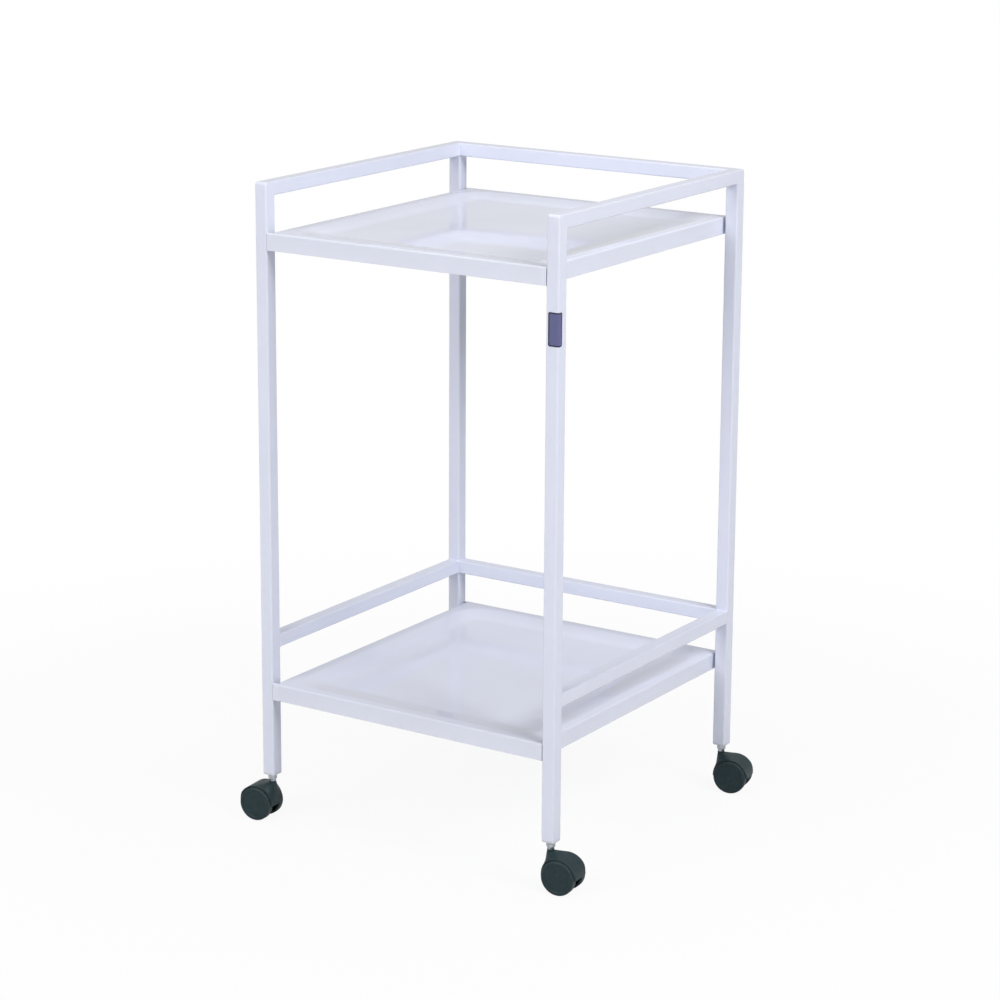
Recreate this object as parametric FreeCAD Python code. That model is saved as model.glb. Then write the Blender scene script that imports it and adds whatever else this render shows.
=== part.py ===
import FreeCAD, Part
import math
import os

# Two-tier instrument trolley: a welded frame of square tube, two pressed trays and four
# twin-wheel casters. Millimetres. The origin is on the floor under the middle of the frame,
# +X runs along the open front from left to right, +Y from front to back, +Z up.

V = FreeCAD.Vector
X_AXIS = V(1, 0, 0)
Y_AXIS = V(0, 1, 0)
Z_AXIS = V(0, 0, 1)

# Frame
frame_width = 500.0            # over the legs, left to right
frame_depth = 500.0            # over the legs, front to back
rail_top_height = 940.0        # floor to the top of the guard rail
lower_tray_height = 212.0      # floor to the rim of the lower tray
guard_height = 70.0            # from each tray's rim to the top of the rail above it
tube_size = 20.0
tube_wall = 1.5
tube_corner_radius = 2.5
mitre_round = 4.0              # rounding of the ground weld at each mitred corner

# Trays
sheet = 1.2
flange_height = 25.0
flange_bend_radius = 3.0       # outside of the bend
pan_corner_radius = 5.0        # outside, where two flanges meet
return_width = 9.0             # hem turned in along the lower edge of each flange
tray_side_gap = 4.0            # between a side flange and the legs beside it
tray_rim_width = 14.0
basin_depth = 8.0
basin_slope_run = 15.0
basin_corner_radius = 42.0     # in plan, at the rim
basin_floor_radius = 7.0       # rounding from the slope into the floor
ear_depth = 5.0                # of the rim that reaches the legs at front and back
weld_tab_length = 12.0         # of the tab folded back along each leg

# Leg inserts
insert_flange = 3.0
insert_depth = 24.0
insert_fit = 0.10              # to the tube's inner wall, each side
insert_rib_count = 3
insert_rib_height = 2.0
insert_rib_depth = 0.8
insert_chamfer = 1.2

# Caster stem
caster_height = 58.8           # floor to the top of the hood's neck
thread_radius = 4.0
thread_length = 18.0
thread_fit = 0.05
stem_chamfer = 0.8
washer_radius = 7.0
washer_thickness = 1.2
hexagon_across_flats = 11.0
hexagon_height = 6.3
shoulder_radius = 5.0          # of the round shoulder under the hexagon
shoulder_height = 3.2
swivel_gap = 0.5               # between the shoulder and the neck
pin_radius = 3.5
pin_fit = 0.08                 # running fit in the socket
clip_radius = 5.0
clip_thickness = 1.0
clip_groove_depth = 0.5
clip_mouth = 5.0
clip_gap = 0.3                 # under the socket
clip_room_gap = 0.6            # round the clip
pin_tail = 1.5                 # of the pin below the clip

# Caster hood
caster_width = 41.4            # over the wheels
caster_trail = 19.4            # from the swivel axis back to the axle
hood_width = 36.8
hood_gap = 0.8                 # between a wheel's tread and the hood
hood_wall = 1.4
hood_rear_angle = 0.0          # of the hood's rear edge about the axle, up from level
hood_top_angle = 75.0          # where the round top runs out into the line to the neck
rim_neck_rear_angle = 98.0     # on the round rim, beside the rear and the front of the neck
rim_neck_front_angle = 114.0
hood_front_x = -8.2            # of the lower front edge, from the swivel axis
hood_front_height = 24.0       # floor to the lower front edge
hood_front_width = 31.0
hood_rear_round = 5.0
hood_front_round = 4.0
neck_foot = 4.2                # half the width of the flat under the neck
neck_height = 2.0              # that the neck stands above its foot
neck_chamfer = 0.5
socket_wall = 1.6
socket_bottom_height = 31.0
web_thickness = 8.0
web_bottom_height = 16.0       # floor to the lowest point of the web
boss_radius = 7.0

# Caster wheels and axle
wheel_radius = 25.0
wheel_gap = 19.0               # between the two wheels
tread_round = 3.0
rim_wall = 3.2
face_wall = 2.6
dish_radius = 19.0             # of the sunk part of the outer face
dish_depth = 0.8
cap_radius = 6.5
cap_rise = 0.4
hub_radius = 6.0
wheel_rib_count = 6
wheel_rib_thickness = 1.6
wheel_rib_setback = 2.5        # from the wheel's inner edge
boss_gap = 0.4                 # between the hood's boss and each hub
axle_radius = 2.5
axle_fit = 0.06                # running fit of the wheels
axle_press_fit = 0.01
axle_end_gap = 0.8
axle_chamfer = 0.5

# Each caster's turn about its stem: the direction in which it trails, in degrees from +X
caster_turn = {
    "front_left": 185.0,
    "front_right": 5.0,
    "back_left": 8.0,
    "back_right": 11.0,
}

# Derived sizes
half_width = frame_width / 2
half_depth = frame_depth / 2
leg_x = half_width - tube_size / 2
leg_y = half_depth - tube_size / 2
upper_tray_height = rail_top_height - guard_height
lower_rail_top = lower_tray_height + guard_height
shoulder_bottom = caster_height + swivel_gap
hexagon_bottom = shoulder_bottom + shoulder_height
washer_bottom = hexagon_bottom + hexagon_height
insert_bottom = washer_bottom + washer_thickness
leg_bottom = insert_bottom + insert_flange
tube_inner = tube_size - 2 * tube_wall
tube_inner_radius = max(tube_corner_radius - tube_wall, 0.2)
leg_places = {
    "front_left": (-leg_x, -leg_y),
    "front_right": (leg_x, -leg_y),
    "back_left": (-leg_x, leg_y),
    "back_right": (leg_x, leg_y),
}
clip_top = socket_bottom_height - clip_gap
clip_bottom = clip_top - clip_thickness
pin_bottom = clip_bottom - pin_tail
groove_radius = pin_radius - clip_groove_depth
cavity_radius = wheel_radius + hood_gap
crown_radius = cavity_radius + hood_wall
wheel_inner = wheel_gap / 2
wheel_outer = caster_width / 2
boss_end = wheel_inner - boss_gap
axle_end = wheel_outer - face_wall - axle_end_gap
socket_radius = pin_radius + pin_fit + socket_wall
neck_foot_height = caster_height - neck_height


def box(x, y, z):
    """Box between pairs of limits (low, high) along each axis."""
    return Part.makeBox(x[1] - x[0], y[1] - y[0], z[1] - z[0], V(x[0], y[0], z[0]))


def rounded_rectangle(width, depth, radius, z, centre=(0.0, 0.0)):
    """Closed wire of four lines and four quarter arcs, level at height z."""
    cx, cy = centre
    hx = width / 2
    hy = depth / 2
    r = radius
    k = r * (1 - math.sqrt(0.5))
    edges = []
    for sx, sy in ((1, 1), (-1, 1), (-1, -1), (1, -1)):
        side = V(cx + sx * hx, cy + sy * (hy - r), z)
        end = V(cx + sx * (hx - r), cy + sy * hy, z)
        middle = V(cx + sx * (hx - k), cy + sy * (hy - k), z)
        first, last = (side, end) if sx * sy > 0 else (end, side)
        edges.append(Part.Arc(first, middle, last).toShape())
    wire = []
    for index, arc in enumerate(edges):
        following = edges[(index + 1) % len(edges)]
        wire.append(arc)
        wire.append(Part.LineSegment(arc.lastVertex().Point,
                                     following.firstVertex().Point).toShape())
    return Part.Wire(wire)


def tube(start, end):
    """Hollow square tube with rounded corners, along one axis from start to end."""
    along = end - start
    outer = Part.Face(rounded_rectangle(tube_size, tube_size, tube_corner_radius, 0.0))
    inner = Part.Face(rounded_rectangle(tube_inner, tube_inner, tube_inner_radius, 0.0))
    section = outer.cut(inner)
    turn = FreeCAD.Rotation(Z_AXIS, along)
    section.Placement = FreeCAD.Placement(start, turn)
    return section.extrude(along)


def mitre(shape, corner, keep_toward, other):
    """Cut a tube at 45 degrees at a corner it shares with a tube that runs along other."""
    reach = 4 * tube_size
    normal = keep_toward - other
    normal.normalize()
    half_space = Part.makeBox(reach, reach, reach, V(-reach / 2, -reach / 2, -reach))
    half_space.Placement = FreeCAD.Placement(corner, FreeCAD.Rotation(Z_AXIS, normal))
    return shape.cut(half_space)


def ground_corner(outer_corner, inward_a, inward_b, across):
    """What grinding takes off a mitred corner: the square corner less its rounding."""
    reach = tube_size + 2.0
    r = mitre_round
    start = outer_corner - across * (reach / 2)
    points = [start, start + inward_a * r, start + inward_b * r]
    centre = start + (inward_a + inward_b) * r
    middle = centre - (inward_a + inward_b) * (r * math.sqrt(0.5))
    edges = [
        Part.LineSegment(points[0], points[1]).toShape(),
        Part.Arc(points[1], middle, points[2]).toShape(),
        Part.LineSegment(points[2], points[0]).toShape(),
    ]
    return Part.Face(Part.Wire(edges)).extrude(across * reach)


def leg(place):
    """Leg tube: the back legs stop under the rails, the front legs are mitred to them."""
    x, y = leg_places[place]
    if place.startswith("back"):
        return tube(V(x, y, leg_bottom), V(x, y, rail_top_height - tube_size))
    shape = tube(V(x, y, leg_bottom), V(x, y, rail_top_height))
    inner_corner = V(x, y, rail_top_height - tube_size / 2)
    shape = mitre(shape, inner_corner, V(0, 0, -1), Y_AXIS)
    outer_corner = V(x, -half_depth, rail_top_height)
    return shape.cut(ground_corner(outer_corner, Y_AXIS, V(0, 0, -1), X_AXIS))


def top_rail_side(side):
    """Left or right guard rail: mitred down into the front leg and along the back rail."""
    x = side * leg_x
    z = rail_top_height - tube_size / 2
    shape = tube(V(x, -half_depth, z), V(x, half_depth, z))
    shape = mitre(shape, V(x, -leg_y, z), Y_AXIS, V(0, 0, -1))
    shape = mitre(shape, V(x, leg_y, z), V(0, -1, 0), V(-side, 0, 0))
    front = ground_corner(V(x, -half_depth, rail_top_height), Y_AXIS, V(0, 0, -1), X_AXIS)
    back = ground_corner(V(side * half_width, half_depth, z), V(-side, 0, 0), V(0, -1, 0), Z_AXIS)
    return shape.cut(front).cut(back)


def top_rail_back():
    """Back guard rail, mitred in plan to the two side rails."""
    z = rail_top_height - tube_size / 2
    shape = tube(V(-half_width, leg_y, z), V(half_width, leg_y, z))
    for side in (-1, 1):
        shape = mitre(shape, V(side * leg_x, leg_y, z), V(-side, 0, 0), V(0, -1, 0))
        corner = V(side * half_width, half_depth, z)
        shape = shape.cut(ground_corner(corner, V(-side, 0, 0), V(0, -1, 0), Z_AXIS))
    return shape


def lower_rail_side(side):
    """Left or right lower rail, butted between the legs and flush with them."""
    x = side * leg_x
    z = lower_rail_top - tube_size / 2
    reach = half_depth - tube_size
    return tube(V(x, -reach, z), V(x, reach, z))


def lower_rail_back():
    """Back lower rail, butted between the back legs."""
    z = lower_rail_top - tube_size / 2
    reach = half_width - tube_size
    return tube(V(-reach, leg_y, z), V(reach, leg_y, z))


def pan_blank(inset, drop, lower):
    """Block with its top edges rounded, inset from the tray's outline all round."""
    width = frame_width - 2 * (tube_size + tray_side_gap) - 2 * inset
    depth = frame_depth - 2 * inset
    wire = rounded_rectangle(width, depth, pan_corner_radius - inset, lower)
    block = Part.Face(wire).extrude(Z_AXIS * (-drop - lower))
    top_edges = [edge for edge in block.Edges if edge.BoundBox.ZMin > -drop - 0.01]
    return block.makeFillet(flange_bend_radius - inset, top_edges)


def basin(thickness):
    """The dished middle of the tray, or the same form grown by the sheet's thickness."""
    slope = math.atan2(basin_depth, basin_slope_run)
    grow = thickness / math.sin(slope)
    rim_x = frame_width - 2 * (tube_size + tray_side_gap + tray_rim_width)
    rim_y = frame_depth - 2 * tray_rim_width
    bottom = -basin_depth - thickness
    top = sheet

    def section(z):
        inset = -z / math.tan(slope) - grow
        return rounded_rectangle(rim_x - 2 * inset, rim_y - 2 * inset, basin_corner_radius - inset, z)

    shape = Part.makeLoft([section(bottom), section(top)], True, True)
    floor_edges = [edge for edge in shape.Edges if edge.BoundBox.ZMax < bottom + 0.01]
    return shape.makeFillet(basin_floor_radius + thickness, floor_edges)


def lip(sx, sy):
    """Ear of the front or back flange that reaches the leg, with its folded weld tab."""
    edge = half_depth
    r = flange_bend_radius
    ri = r - sheet
    k = math.sqrt(0.5)
    outline = [
        V(0, edge - ear_depth, 0),
        V(0, edge - r, 0),
        V(0, edge - r + r * k, -r + r * k),
        V(0, edge, -r),
        V(0, edge, -flange_height),
        V(0, edge - sheet, -flange_height),
        V(0, edge - sheet, -r),
        V(0, edge - r + ri * k, -r + ri * k),
        V(0, edge - r, -sheet),
        V(0, edge - ear_depth, -sheet),
    ]
    face = Part.Face(Part.Wire([
        Part.LineSegment(outline[0], outline[1]).toShape(),
        Part.Arc(outline[1], outline[2], outline[3]).toShape(),
        Part.LineSegment(outline[3], outline[4]).toShape(),
        Part.LineSegment(outline[4], outline[5]).toShape(),
        Part.LineSegment(outline[5], outline[6]).toShape(),
        Part.Arc(outline[6], outline[7], outline[8]).toShape(),
        Part.LineSegment(outline[8], outline[9]).toShape(),
        Part.LineSegment(outline[9], outline[0]).toShape(),
    ]))
    leg_face = half_width - tube_size
    start = leg_face - tray_side_gap - pan_corner_radius
    ear = face.extrude(X_AXIS * (leg_face - start))
    ear.translate(X_AXIS * start)
    tab = box((leg_face - sheet, leg_face), (edge - weld_tab_length, edge), (-flange_height, -r))
    tab_corner = [e for e in tab.Edges if e.BoundBox.XMin > leg_face - 0.01
                  and e.BoundBox.YMin > edge - 0.01]
    piece = ear.fuse(tab.makeFillet(sheet * 0.8, tab_corner))
    if sx < 0:
        piece = piece.mirror(V(0, 0, 0), X_AXIS)
    if sy < 0:
        piece = piece.mirror(V(0, 0, 0), Y_AXIS)
    return piece


def tray(height):
    """Pressed tray: flat rim, sloped basin, flanges with a hem, and ears to the legs."""
    outer = pan_blank(0.0, 0.0, -flange_height)
    hollow = pan_blank(sheet, sheet, -flange_height + sheet)
    mouth_width = frame_width - 2 * (tube_size + tray_side_gap + return_width)
    mouth_depth = frame_depth - 2 * return_width
    mouth = Part.Face(rounded_rectangle(mouth_width, mouth_depth, 2.0, -flange_height - sheet))
    shape = outer.cut(hollow).cut(mouth.extrude(Z_AXIS * (3 * sheet)))
    floor_shell = basin(sheet).common(outer)
    shape = shape.fuse(floor_shell)
    for sx in (-1, 1):
        for sy in (-1, 1):
            shape = shape.fuse(lip(sx, sy))
    shape = shape.cut(basin(0.0)).removeSplitter()
    shape.translate(V(0, 0, height))
    return shape


def leg_insert(place):
    """Plug in the leg's open end, with barbed ribs, a chamfered flange and a bore."""
    x, y = leg_places[place]
    flange = Part.Face(rounded_rectangle(tube_size, tube_size, tube_corner_radius, 0.0))
    flange = flange.extrude(Z_AXIS * insert_flange)
    lower = [edge for edge in flange.Edges if edge.BoundBox.ZMax < 0.01]
    shape = flange.makeChamfer(insert_chamfer, lower)
    rib_width = tube_inner - 2 * insert_fit
    body_width = rib_width - 2 * insert_rib_depth
    body = Part.Face(rounded_rectangle(body_width, body_width, tube_inner_radius, insert_flange))
    shape = shape.fuse(body.extrude(Z_AXIS * insert_depth))
    pitch = insert_depth / insert_rib_count
    for index in range(insert_rib_count):
        z = insert_flange + (index + 1) * pitch - insert_rib_height
        rib = Part.Face(rounded_rectangle(rib_width, rib_width, tube_inner_radius, z))
        shape = shape.fuse(rib.extrude(Z_AXIS * insert_rib_height))
    bore = Part.makeCylinder(thread_radius + thread_fit, insert_flange + insert_depth + 2, V(0, 0, -1))
    shape = shape.cut(bore).removeSplitter()
    shape.translate(V(x, y, insert_bottom))
    return shape


def revolve(points, axis_point, axis):
    """Solid of revolution from a closed outline of straight lines."""
    outline = Part.makePolygon(points + [points[0]])
    return Part.Face(outline).revolve(axis_point, axis, 360)


def stem_washer(place):
    """Flat washer between the insert and the stem's hexagon."""
    x, y = leg_places[place]
    outer = Part.makeCylinder(washer_radius, washer_thickness, V(x, y, washer_bottom))
    bore = Part.makeCylinder(thread_radius + thread_fit, washer_thickness, V(x, y, washer_bottom))
    return outer.cut(bore)


def caster_stem(place):
    """Stem: threaded end up in the leg, hexagon, round shoulder, and pin with a clip groove."""
    x, y = leg_places[place]
    top = insert_bottom + thread_length
    points = [
        V(0, 0, pin_bottom),
        V(pin_radius - stem_chamfer, 0, pin_bottom),
        V(pin_radius, 0, pin_bottom + stem_chamfer),
        V(pin_radius, 0, clip_bottom),
        V(groove_radius, 0, clip_bottom),
        V(groove_radius, 0, clip_top),
        V(pin_radius, 0, clip_top),
        V(pin_radius, 0, shoulder_bottom),
        V(shoulder_radius, 0, shoulder_bottom),
        V(shoulder_radius, 0, hexagon_bottom),
        V(thread_radius, 0, hexagon_bottom),
        V(thread_radius, 0, top - stem_chamfer),
        V(thread_radius - stem_chamfer, 0, top),
        V(0, 0, top),
    ]
    shape = revolve(points, V(0, 0, 0), Z_AXIS)
    corner_radius = hexagon_across_flats / math.sqrt(3)
    corners = [V(corner_radius * math.cos(math.radians(60 * i)),
                 corner_radius * math.sin(math.radians(60 * i)), hexagon_bottom) for i in range(6)]
    hexagon = Part.Face(Part.makePolygon(corners + [corners[0]])).extrude(Z_AXIS * hexagon_height)
    dome_top = corner_radius * 0.94
    dome = Part.makeCone(corner_radius * 1.01, dome_top, stem_chamfer, V(0, 0, washer_bottom - stem_chamfer))
    under = Part.makeCone(dome_top, corner_radius * 1.01, stem_chamfer, V(0, 0, hexagon_bottom))
    middle = Part.makeCylinder(corner_radius * 1.01, hexagon_height - 2 * stem_chamfer,
                               V(0, 0, hexagon_bottom + stem_chamfer))
    hexagon = hexagon.common(dome.fuse(middle).fuse(under))
    shape = shape.fuse(hexagon).removeSplitter()
    shape.translate(V(x, y, 0))
    return shape


def stem_clip(place):
    """Open retaining ring in the stem's groove, under the hood's socket."""
    x, y = leg_places[place]
    ring = Part.makeCylinder(clip_radius, clip_thickness, V(0, 0, clip_bottom))
    ring = ring.cut(Part.makeCylinder(groove_radius, clip_thickness, V(0, 0, clip_bottom)))
    mouth = box((0, clip_radius + 1), (-clip_mouth / 2, clip_mouth / 2),
                (clip_bottom - 1, clip_top + 1))
    ring = ring.cut(mouth)
    ring.rotate(V(0, 0, 0), Z_AXIS, caster_turn[place] + 180)
    ring.translate(V(x, y, 0))
    return ring


def place_caster(shape, place):
    """Turn a piece made in the caster's own frame to its place under the leg."""
    x, y = leg_places[place]
    shape.rotate(V(0, 0, 0), Z_AXIS, caster_turn[place])
    shape.translate(V(x, y, 0))
    return shape


def across_cylinder(radius, low, high):
    """Cylinder about the axle between two distances from the caster's middle plane."""
    return Part.makeCylinder(radius, high - low, V(caster_trail, low, wheel_radius), Y_AXIS)


def rim_point(angle, y):
    """Point of the hood's round rim, at an angle about the axle, y from the middle plane."""
    a = math.radians(angle)
    return V(caster_trail + crown_radius * math.cos(a), y, wheel_radius + crown_radius * math.sin(a))


def rim_arc(first, last, y):
    """Edge along the rim from one angle to another."""
    return Part.Arc(rim_point(first, y), rim_point((first + last) / 2, y), rim_point(last, y)).toShape()


def hood_section(y, tops):
    """Side view of the hood at y: rear arc, the edges over the top, and the web's lower edges."""
    keel = V(caster_trail, y, web_bottom_height)
    front = tops[-1].lastVertex().Point
    edges = [rim_arc(hood_rear_angle, hood_top_angle, y)] + tops
    edges.append(Part.LineSegment(front, keel).toShape())
    edges.append(Part.LineSegment(keel, rim_point(hood_rear_angle, y)).toShape())
    return Part.Wire(edges)


def hood_cowl():
    """Outside of the hood: a ruled loft from the round rims inwards to the neck's own profile."""
    rim_front = 180 - math.degrees(math.asin((hood_front_height - wheel_radius) / crown_radius))
    angles = [hood_top_angle, rim_neck_rear_angle, rim_neck_front_angle, rim_front]
    sections = []
    for y in (-hood_width / 2, -neck_foot, neck_foot, hood_width / 2):
        if abs(y) > neck_foot:
            tops = [rim_arc(first, last, y) for first, last in zip(angles, angles[1:])]
        else:
            corners = [rim_point(hood_top_angle, y), V(neck_foot, y, neck_foot_height),
                       V(-neck_foot, y, neck_foot_height), V(hood_front_x, y, hood_front_height)]
            tops = [Part.LineSegment(first, last).toShape() for first, last in zip(corners, corners[1:])]
        sections.append(hood_section(y, tops))
    return Part.makeLoft(sections, True, True)


def hood_plan():
    """Top view of the hood: rounded rear corners, and sides that draw in to the front."""
    half = hood_width / 2
    front_half = hood_front_width / 2
    front_x = hood_front_x - 1.0
    rear_x = caster_trail + crown_radius
    outline = [V(front_x, -front_half, 0), V(caster_trail, -half, 0), V(rear_x, -half, 0),
               V(rear_x, half, 0), V(caster_trail, half, 0), V(front_x, front_half, 0)]
    prism = Part.Face(Part.makePolygon(outline + [outline[0]])).extrude(Z_AXIS * caster_height)
    upright = [edge for edge in prism.Edges if edge.BoundBox.ZLength > caster_height / 2]
    rear = [edge for edge in upright if edge.BoundBox.XMin > rear_x - 0.01]
    front = [edge for edge in upright if edge.BoundBox.XMax < hood_front_x]
    return prism.makeFillet(hood_rear_round, rear).makeFillet(hood_front_round, front)


def caster_hood(place):
    """Moulded hood: cowl over both wheels, web, axle boss, and the socket that ends in the neck."""
    shape = hood_cowl().common(hood_plan())
    for side in (-1, 1):
        low = web_thickness / 2 if side > 0 else -caster_width
        high = caster_width if side > 0 else -web_thickness / 2
        shape = shape.cut(across_cylinder(cavity_radius, low, high))
    shape = shape.fuse(across_cylinder(boss_radius, -boss_end, boss_end))
    socket = Part.makeCylinder(socket_radius, caster_height - socket_bottom_height,
                               V(0, 0, socket_bottom_height))
    rim = [edge for edge in socket.Edges if edge.BoundBox.ZMin > caster_height - 0.01]
    shape = shape.fuse(socket.makeChamfer(neck_chamfer, rim))
    shape = shape.cut(Part.makeCylinder(clip_radius + clip_room_gap, socket_bottom_height))
    shape = shape.cut(Part.makeCylinder(pin_radius + pin_fit, caster_height))
    shape = shape.cut(across_cylinder(axle_radius + axle_press_fit, -wheel_outer, wheel_outer))
    return place_caster(shape.removeSplitter(), place)


def caster_axle(place):
    """Axle pin, chamfered at both ends, pressed into the hood's boss."""
    c = axle_chamfer
    points = [
        V(caster_trail, -axle_end, wheel_radius),
        V(caster_trail + axle_radius - c, -axle_end, wheel_radius),
        V(caster_trail + axle_radius, -axle_end + c, wheel_radius),
        V(caster_trail + axle_radius, axle_end - c, wheel_radius),
        V(caster_trail + axle_radius - c, axle_end, wheel_radius),
        V(caster_trail, axle_end, wheel_radius),
    ]
    return place_caster(revolve(points, V(caster_trail, 0, wheel_radius), Y_AXIS), place)


def wheel_body():
    """Wheel at the far side, about the Y axis: rim, dished outer face and blind hub."""
    face_in = wheel_outer - dish_depth - face_wall
    rim_inner = wheel_radius - rim_wall
    c = tread_round * 0.6
    bore = axle_radius + axle_fit
    points = [
        V(bore, wheel_inner, 0),
        V(hub_radius, wheel_inner, 0),
        V(hub_radius, face_in, 0),
        V(rim_inner, face_in, 0),
        V(rim_inner, wheel_inner, 0),
        V(wheel_radius - c, wheel_inner, 0),
        V(wheel_radius, wheel_inner + c, 0),
        V(wheel_radius, wheel_outer - tread_round, 0),
        V(wheel_radius - tread_round * 0.3, wheel_outer - tread_round * 0.3, 0),
        V(wheel_radius - tread_round, wheel_outer, 0),
        V(dish_radius + dish_depth, wheel_outer, 0),
        V(dish_radius, wheel_outer - dish_depth, 0),
        V(cap_radius + cap_rise, wheel_outer - dish_depth, 0),
        V(cap_radius, wheel_outer - dish_depth + cap_rise, 0),
        V(0, wheel_outer - dish_depth + cap_rise, 0),
        V(0, axle_end + axle_end_gap / 2, 0),
        V(bore, axle_end + axle_end_gap / 2, 0),
    ]
    shape = revolve(points, V(0, 0, 0), Y_AXIS)
    for index in range(wheel_rib_count):
        rib = box((hub_radius - 0.5, rim_inner + 0.5), (wheel_inner + wheel_rib_setback, face_in + 0.5),
                  (-wheel_rib_thickness / 2, wheel_rib_thickness / 2))
        rib.rotate(V(0, 0, 0), Y_AXIS, 360 / wheel_rib_count * index)
        shape = shape.fuse(rib)
    return shape.removeSplitter()


def caster_wheel(place, side):
    """Wheel of one caster, on the near (-1) or far (+1) side of its middle plane."""
    shape = wheel_body()
    if side < 0:
        shape = shape.mirror(V(0, 0, 0), Y_AXIS)
    shape.translate(V(caster_trail, 0, wheel_radius))
    return place_caster(shape, place)


def all_parts():
    """Every piece of the trolley by its name."""
    parts = {}
    for place in leg_places:
        parts["leg_" + place] = leg(place)
        parts["leg_insert_" + place] = leg_insert(place)
        parts["stem_washer_" + place] = stem_washer(place)
        parts["caster_stem_" + place] = caster_stem(place)
        parts["stem_clip_" + place] = stem_clip(place)
        parts["caster_hood_" + place] = caster_hood(place)
        parts["caster_axle_" + place] = caster_axle(place)
        parts["caster_wheel_" + place + "_a"] = caster_wheel(place, -1)
        parts["caster_wheel_" + place + "_b"] = caster_wheel(place, 1)
    for name, side in (("left", -1), ("right", 1)):
        parts["top_rail_" + name] = top_rail_side(side)
        parts["lower_rail_" + name] = lower_rail_side(side)
    parts["top_rail_back"] = top_rail_back()
    parts["lower_rail_back"] = lower_rail_back()
    parts["upper_tray"] = tray(upper_tray_height)
    parts["lower_tray"] = tray(lower_tray_height)
    return parts


os.makedirs("parts", exist_ok=True)
for name, shape in all_parts().items():
    shape.exportStep(os.path.join("parts", name + ".step"))
    print(name, shape.isValid(), len(shape.Solids), round(shape.Volume))
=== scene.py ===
"""Looks of a two-tier instrument trolley: enamelled tube frame, pressed trays, twin-wheel casters.

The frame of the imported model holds: the floor is z = 0, +X runs from left to right along the open
front, +Y from front to back. The classes keep their sizes in millimetres, as on a drawing, and a
piece turns them into metres when its mesh is made.
"""

import logging
import math
from collections.abc import Mapping, Sequence
from dataclasses import dataclass, field
from enum import Enum
from typing import Any

import bpy
import numpy as np
from mathutils import Matrix, Vector
from numpy.typing import NDArray


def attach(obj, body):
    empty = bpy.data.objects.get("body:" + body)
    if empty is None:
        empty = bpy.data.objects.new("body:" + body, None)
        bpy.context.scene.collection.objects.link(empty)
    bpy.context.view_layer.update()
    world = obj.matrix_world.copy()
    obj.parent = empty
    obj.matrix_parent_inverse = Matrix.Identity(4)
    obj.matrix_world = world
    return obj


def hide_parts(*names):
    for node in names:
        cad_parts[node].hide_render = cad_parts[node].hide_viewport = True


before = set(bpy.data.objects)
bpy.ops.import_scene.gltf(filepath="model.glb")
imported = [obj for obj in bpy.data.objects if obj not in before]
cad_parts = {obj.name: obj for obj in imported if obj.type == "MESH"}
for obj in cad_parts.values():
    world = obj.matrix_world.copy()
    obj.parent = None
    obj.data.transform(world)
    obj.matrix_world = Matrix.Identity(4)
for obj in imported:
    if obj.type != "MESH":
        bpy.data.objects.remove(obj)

Array = NDArray[np.float64]
Triple = tuple[float, float, float]
MM = 0.001
log = logging.getLogger("trolley")


# Surfaces


@dataclass(frozen=True)
class Patch:
    """A surface sampled on a grid of rows and columns, in millimetres.

    Attributes:
        points: The grid, rows by columns by 3.
        loop: The last column joins the first.
        ring: The last row joins the first.
        guard: Rows at the start and the end that are there only for the shading of their neighbours.
        pole: The start or the end is closed by a fan round its middle.
        lead: A direction along the rows, for places where the rows lie on each other.
        wear: For each point, from 0 to 1, how much it is rubbed.
        chart: For each point its two coordinates on the surface, in millimetres.
    """

    points: Array
    loop: bool = True
    ring: bool = False
    guard: tuple[int, int] = (0, 0)
    pole: tuple[bool, bool] = (False, False)
    lead: Triple = (0.0, 0.0, 0.0)
    wear: Array | None = None
    chart: Array | None = None

    @staticmethod
    def _step(points: Array, axis: int, closed: bool) -> Array:
        """The next point less the one before, one-sided at an open end.

        Args:
            points: The grid.
            axis: 0 for a step along the rows, 1 along the columns.
            closed: The last joins the first.

        Returns:
            The steps, as many as there are points.
        """
        if closed:
            return np.roll(points, -1, axis) - np.roll(points, 1, axis)
        first = np.take(points, [0], axis)
        last = np.take(points, [-1], axis)
        padded = np.concatenate([first, points, last], axis)
        count = points.shape[axis]
        return np.take(padded, np.arange(2, count + 2), axis) - np.take(padded, np.arange(count), axis)

    def shell(self) -> tuple[Array, Array, Array]:
        """The grid without its guard rows.

        Returns:
            The points, their unit normals, which are the step along the columns crossed with the step
            along the rows, and the wear.
        """
        across = self._step(self.points, 1, self.loop)
        along = self._step(self.points, 0, self.ring) + 1e-6 * np.array(self.lead)
        normal = np.cross(across, along)
        normal /= np.maximum(np.linalg.norm(normal, axis=2, keepdims=True), 1e-12)
        rows = slice(self.guard[0], self.points.shape[0] - self.guard[1])
        wear = np.zeros(self.points.shape[:2]) if self.wear is None else self.wear
        return self.points[rows], normal[rows], np.broadcast_to(wear, self.points.shape[:2])[rows]

    def faces(self, rows: int, columns: int) -> Array:
        """Quads between neighbouring rows and columns.

        Args:
            rows: Rows of the grid.
            columns: Columns of the grid.

        Returns:
            The index of the four corners of each, n by 4.
        """
        i = np.arange(rows if self.ring else rows - 1)[:, None]
        j = np.arange(columns if self.loop else columns - 1)[None, :]
        i_next = (i + 1) % rows
        j_next = (j + 1) % columns
        corners = [i * columns + j, i * columns + j_next, i_next * columns + j_next, i_next * columns + j]
        return np.stack(np.broadcast_arrays(*corners), -1).reshape(-1, 4)


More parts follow.
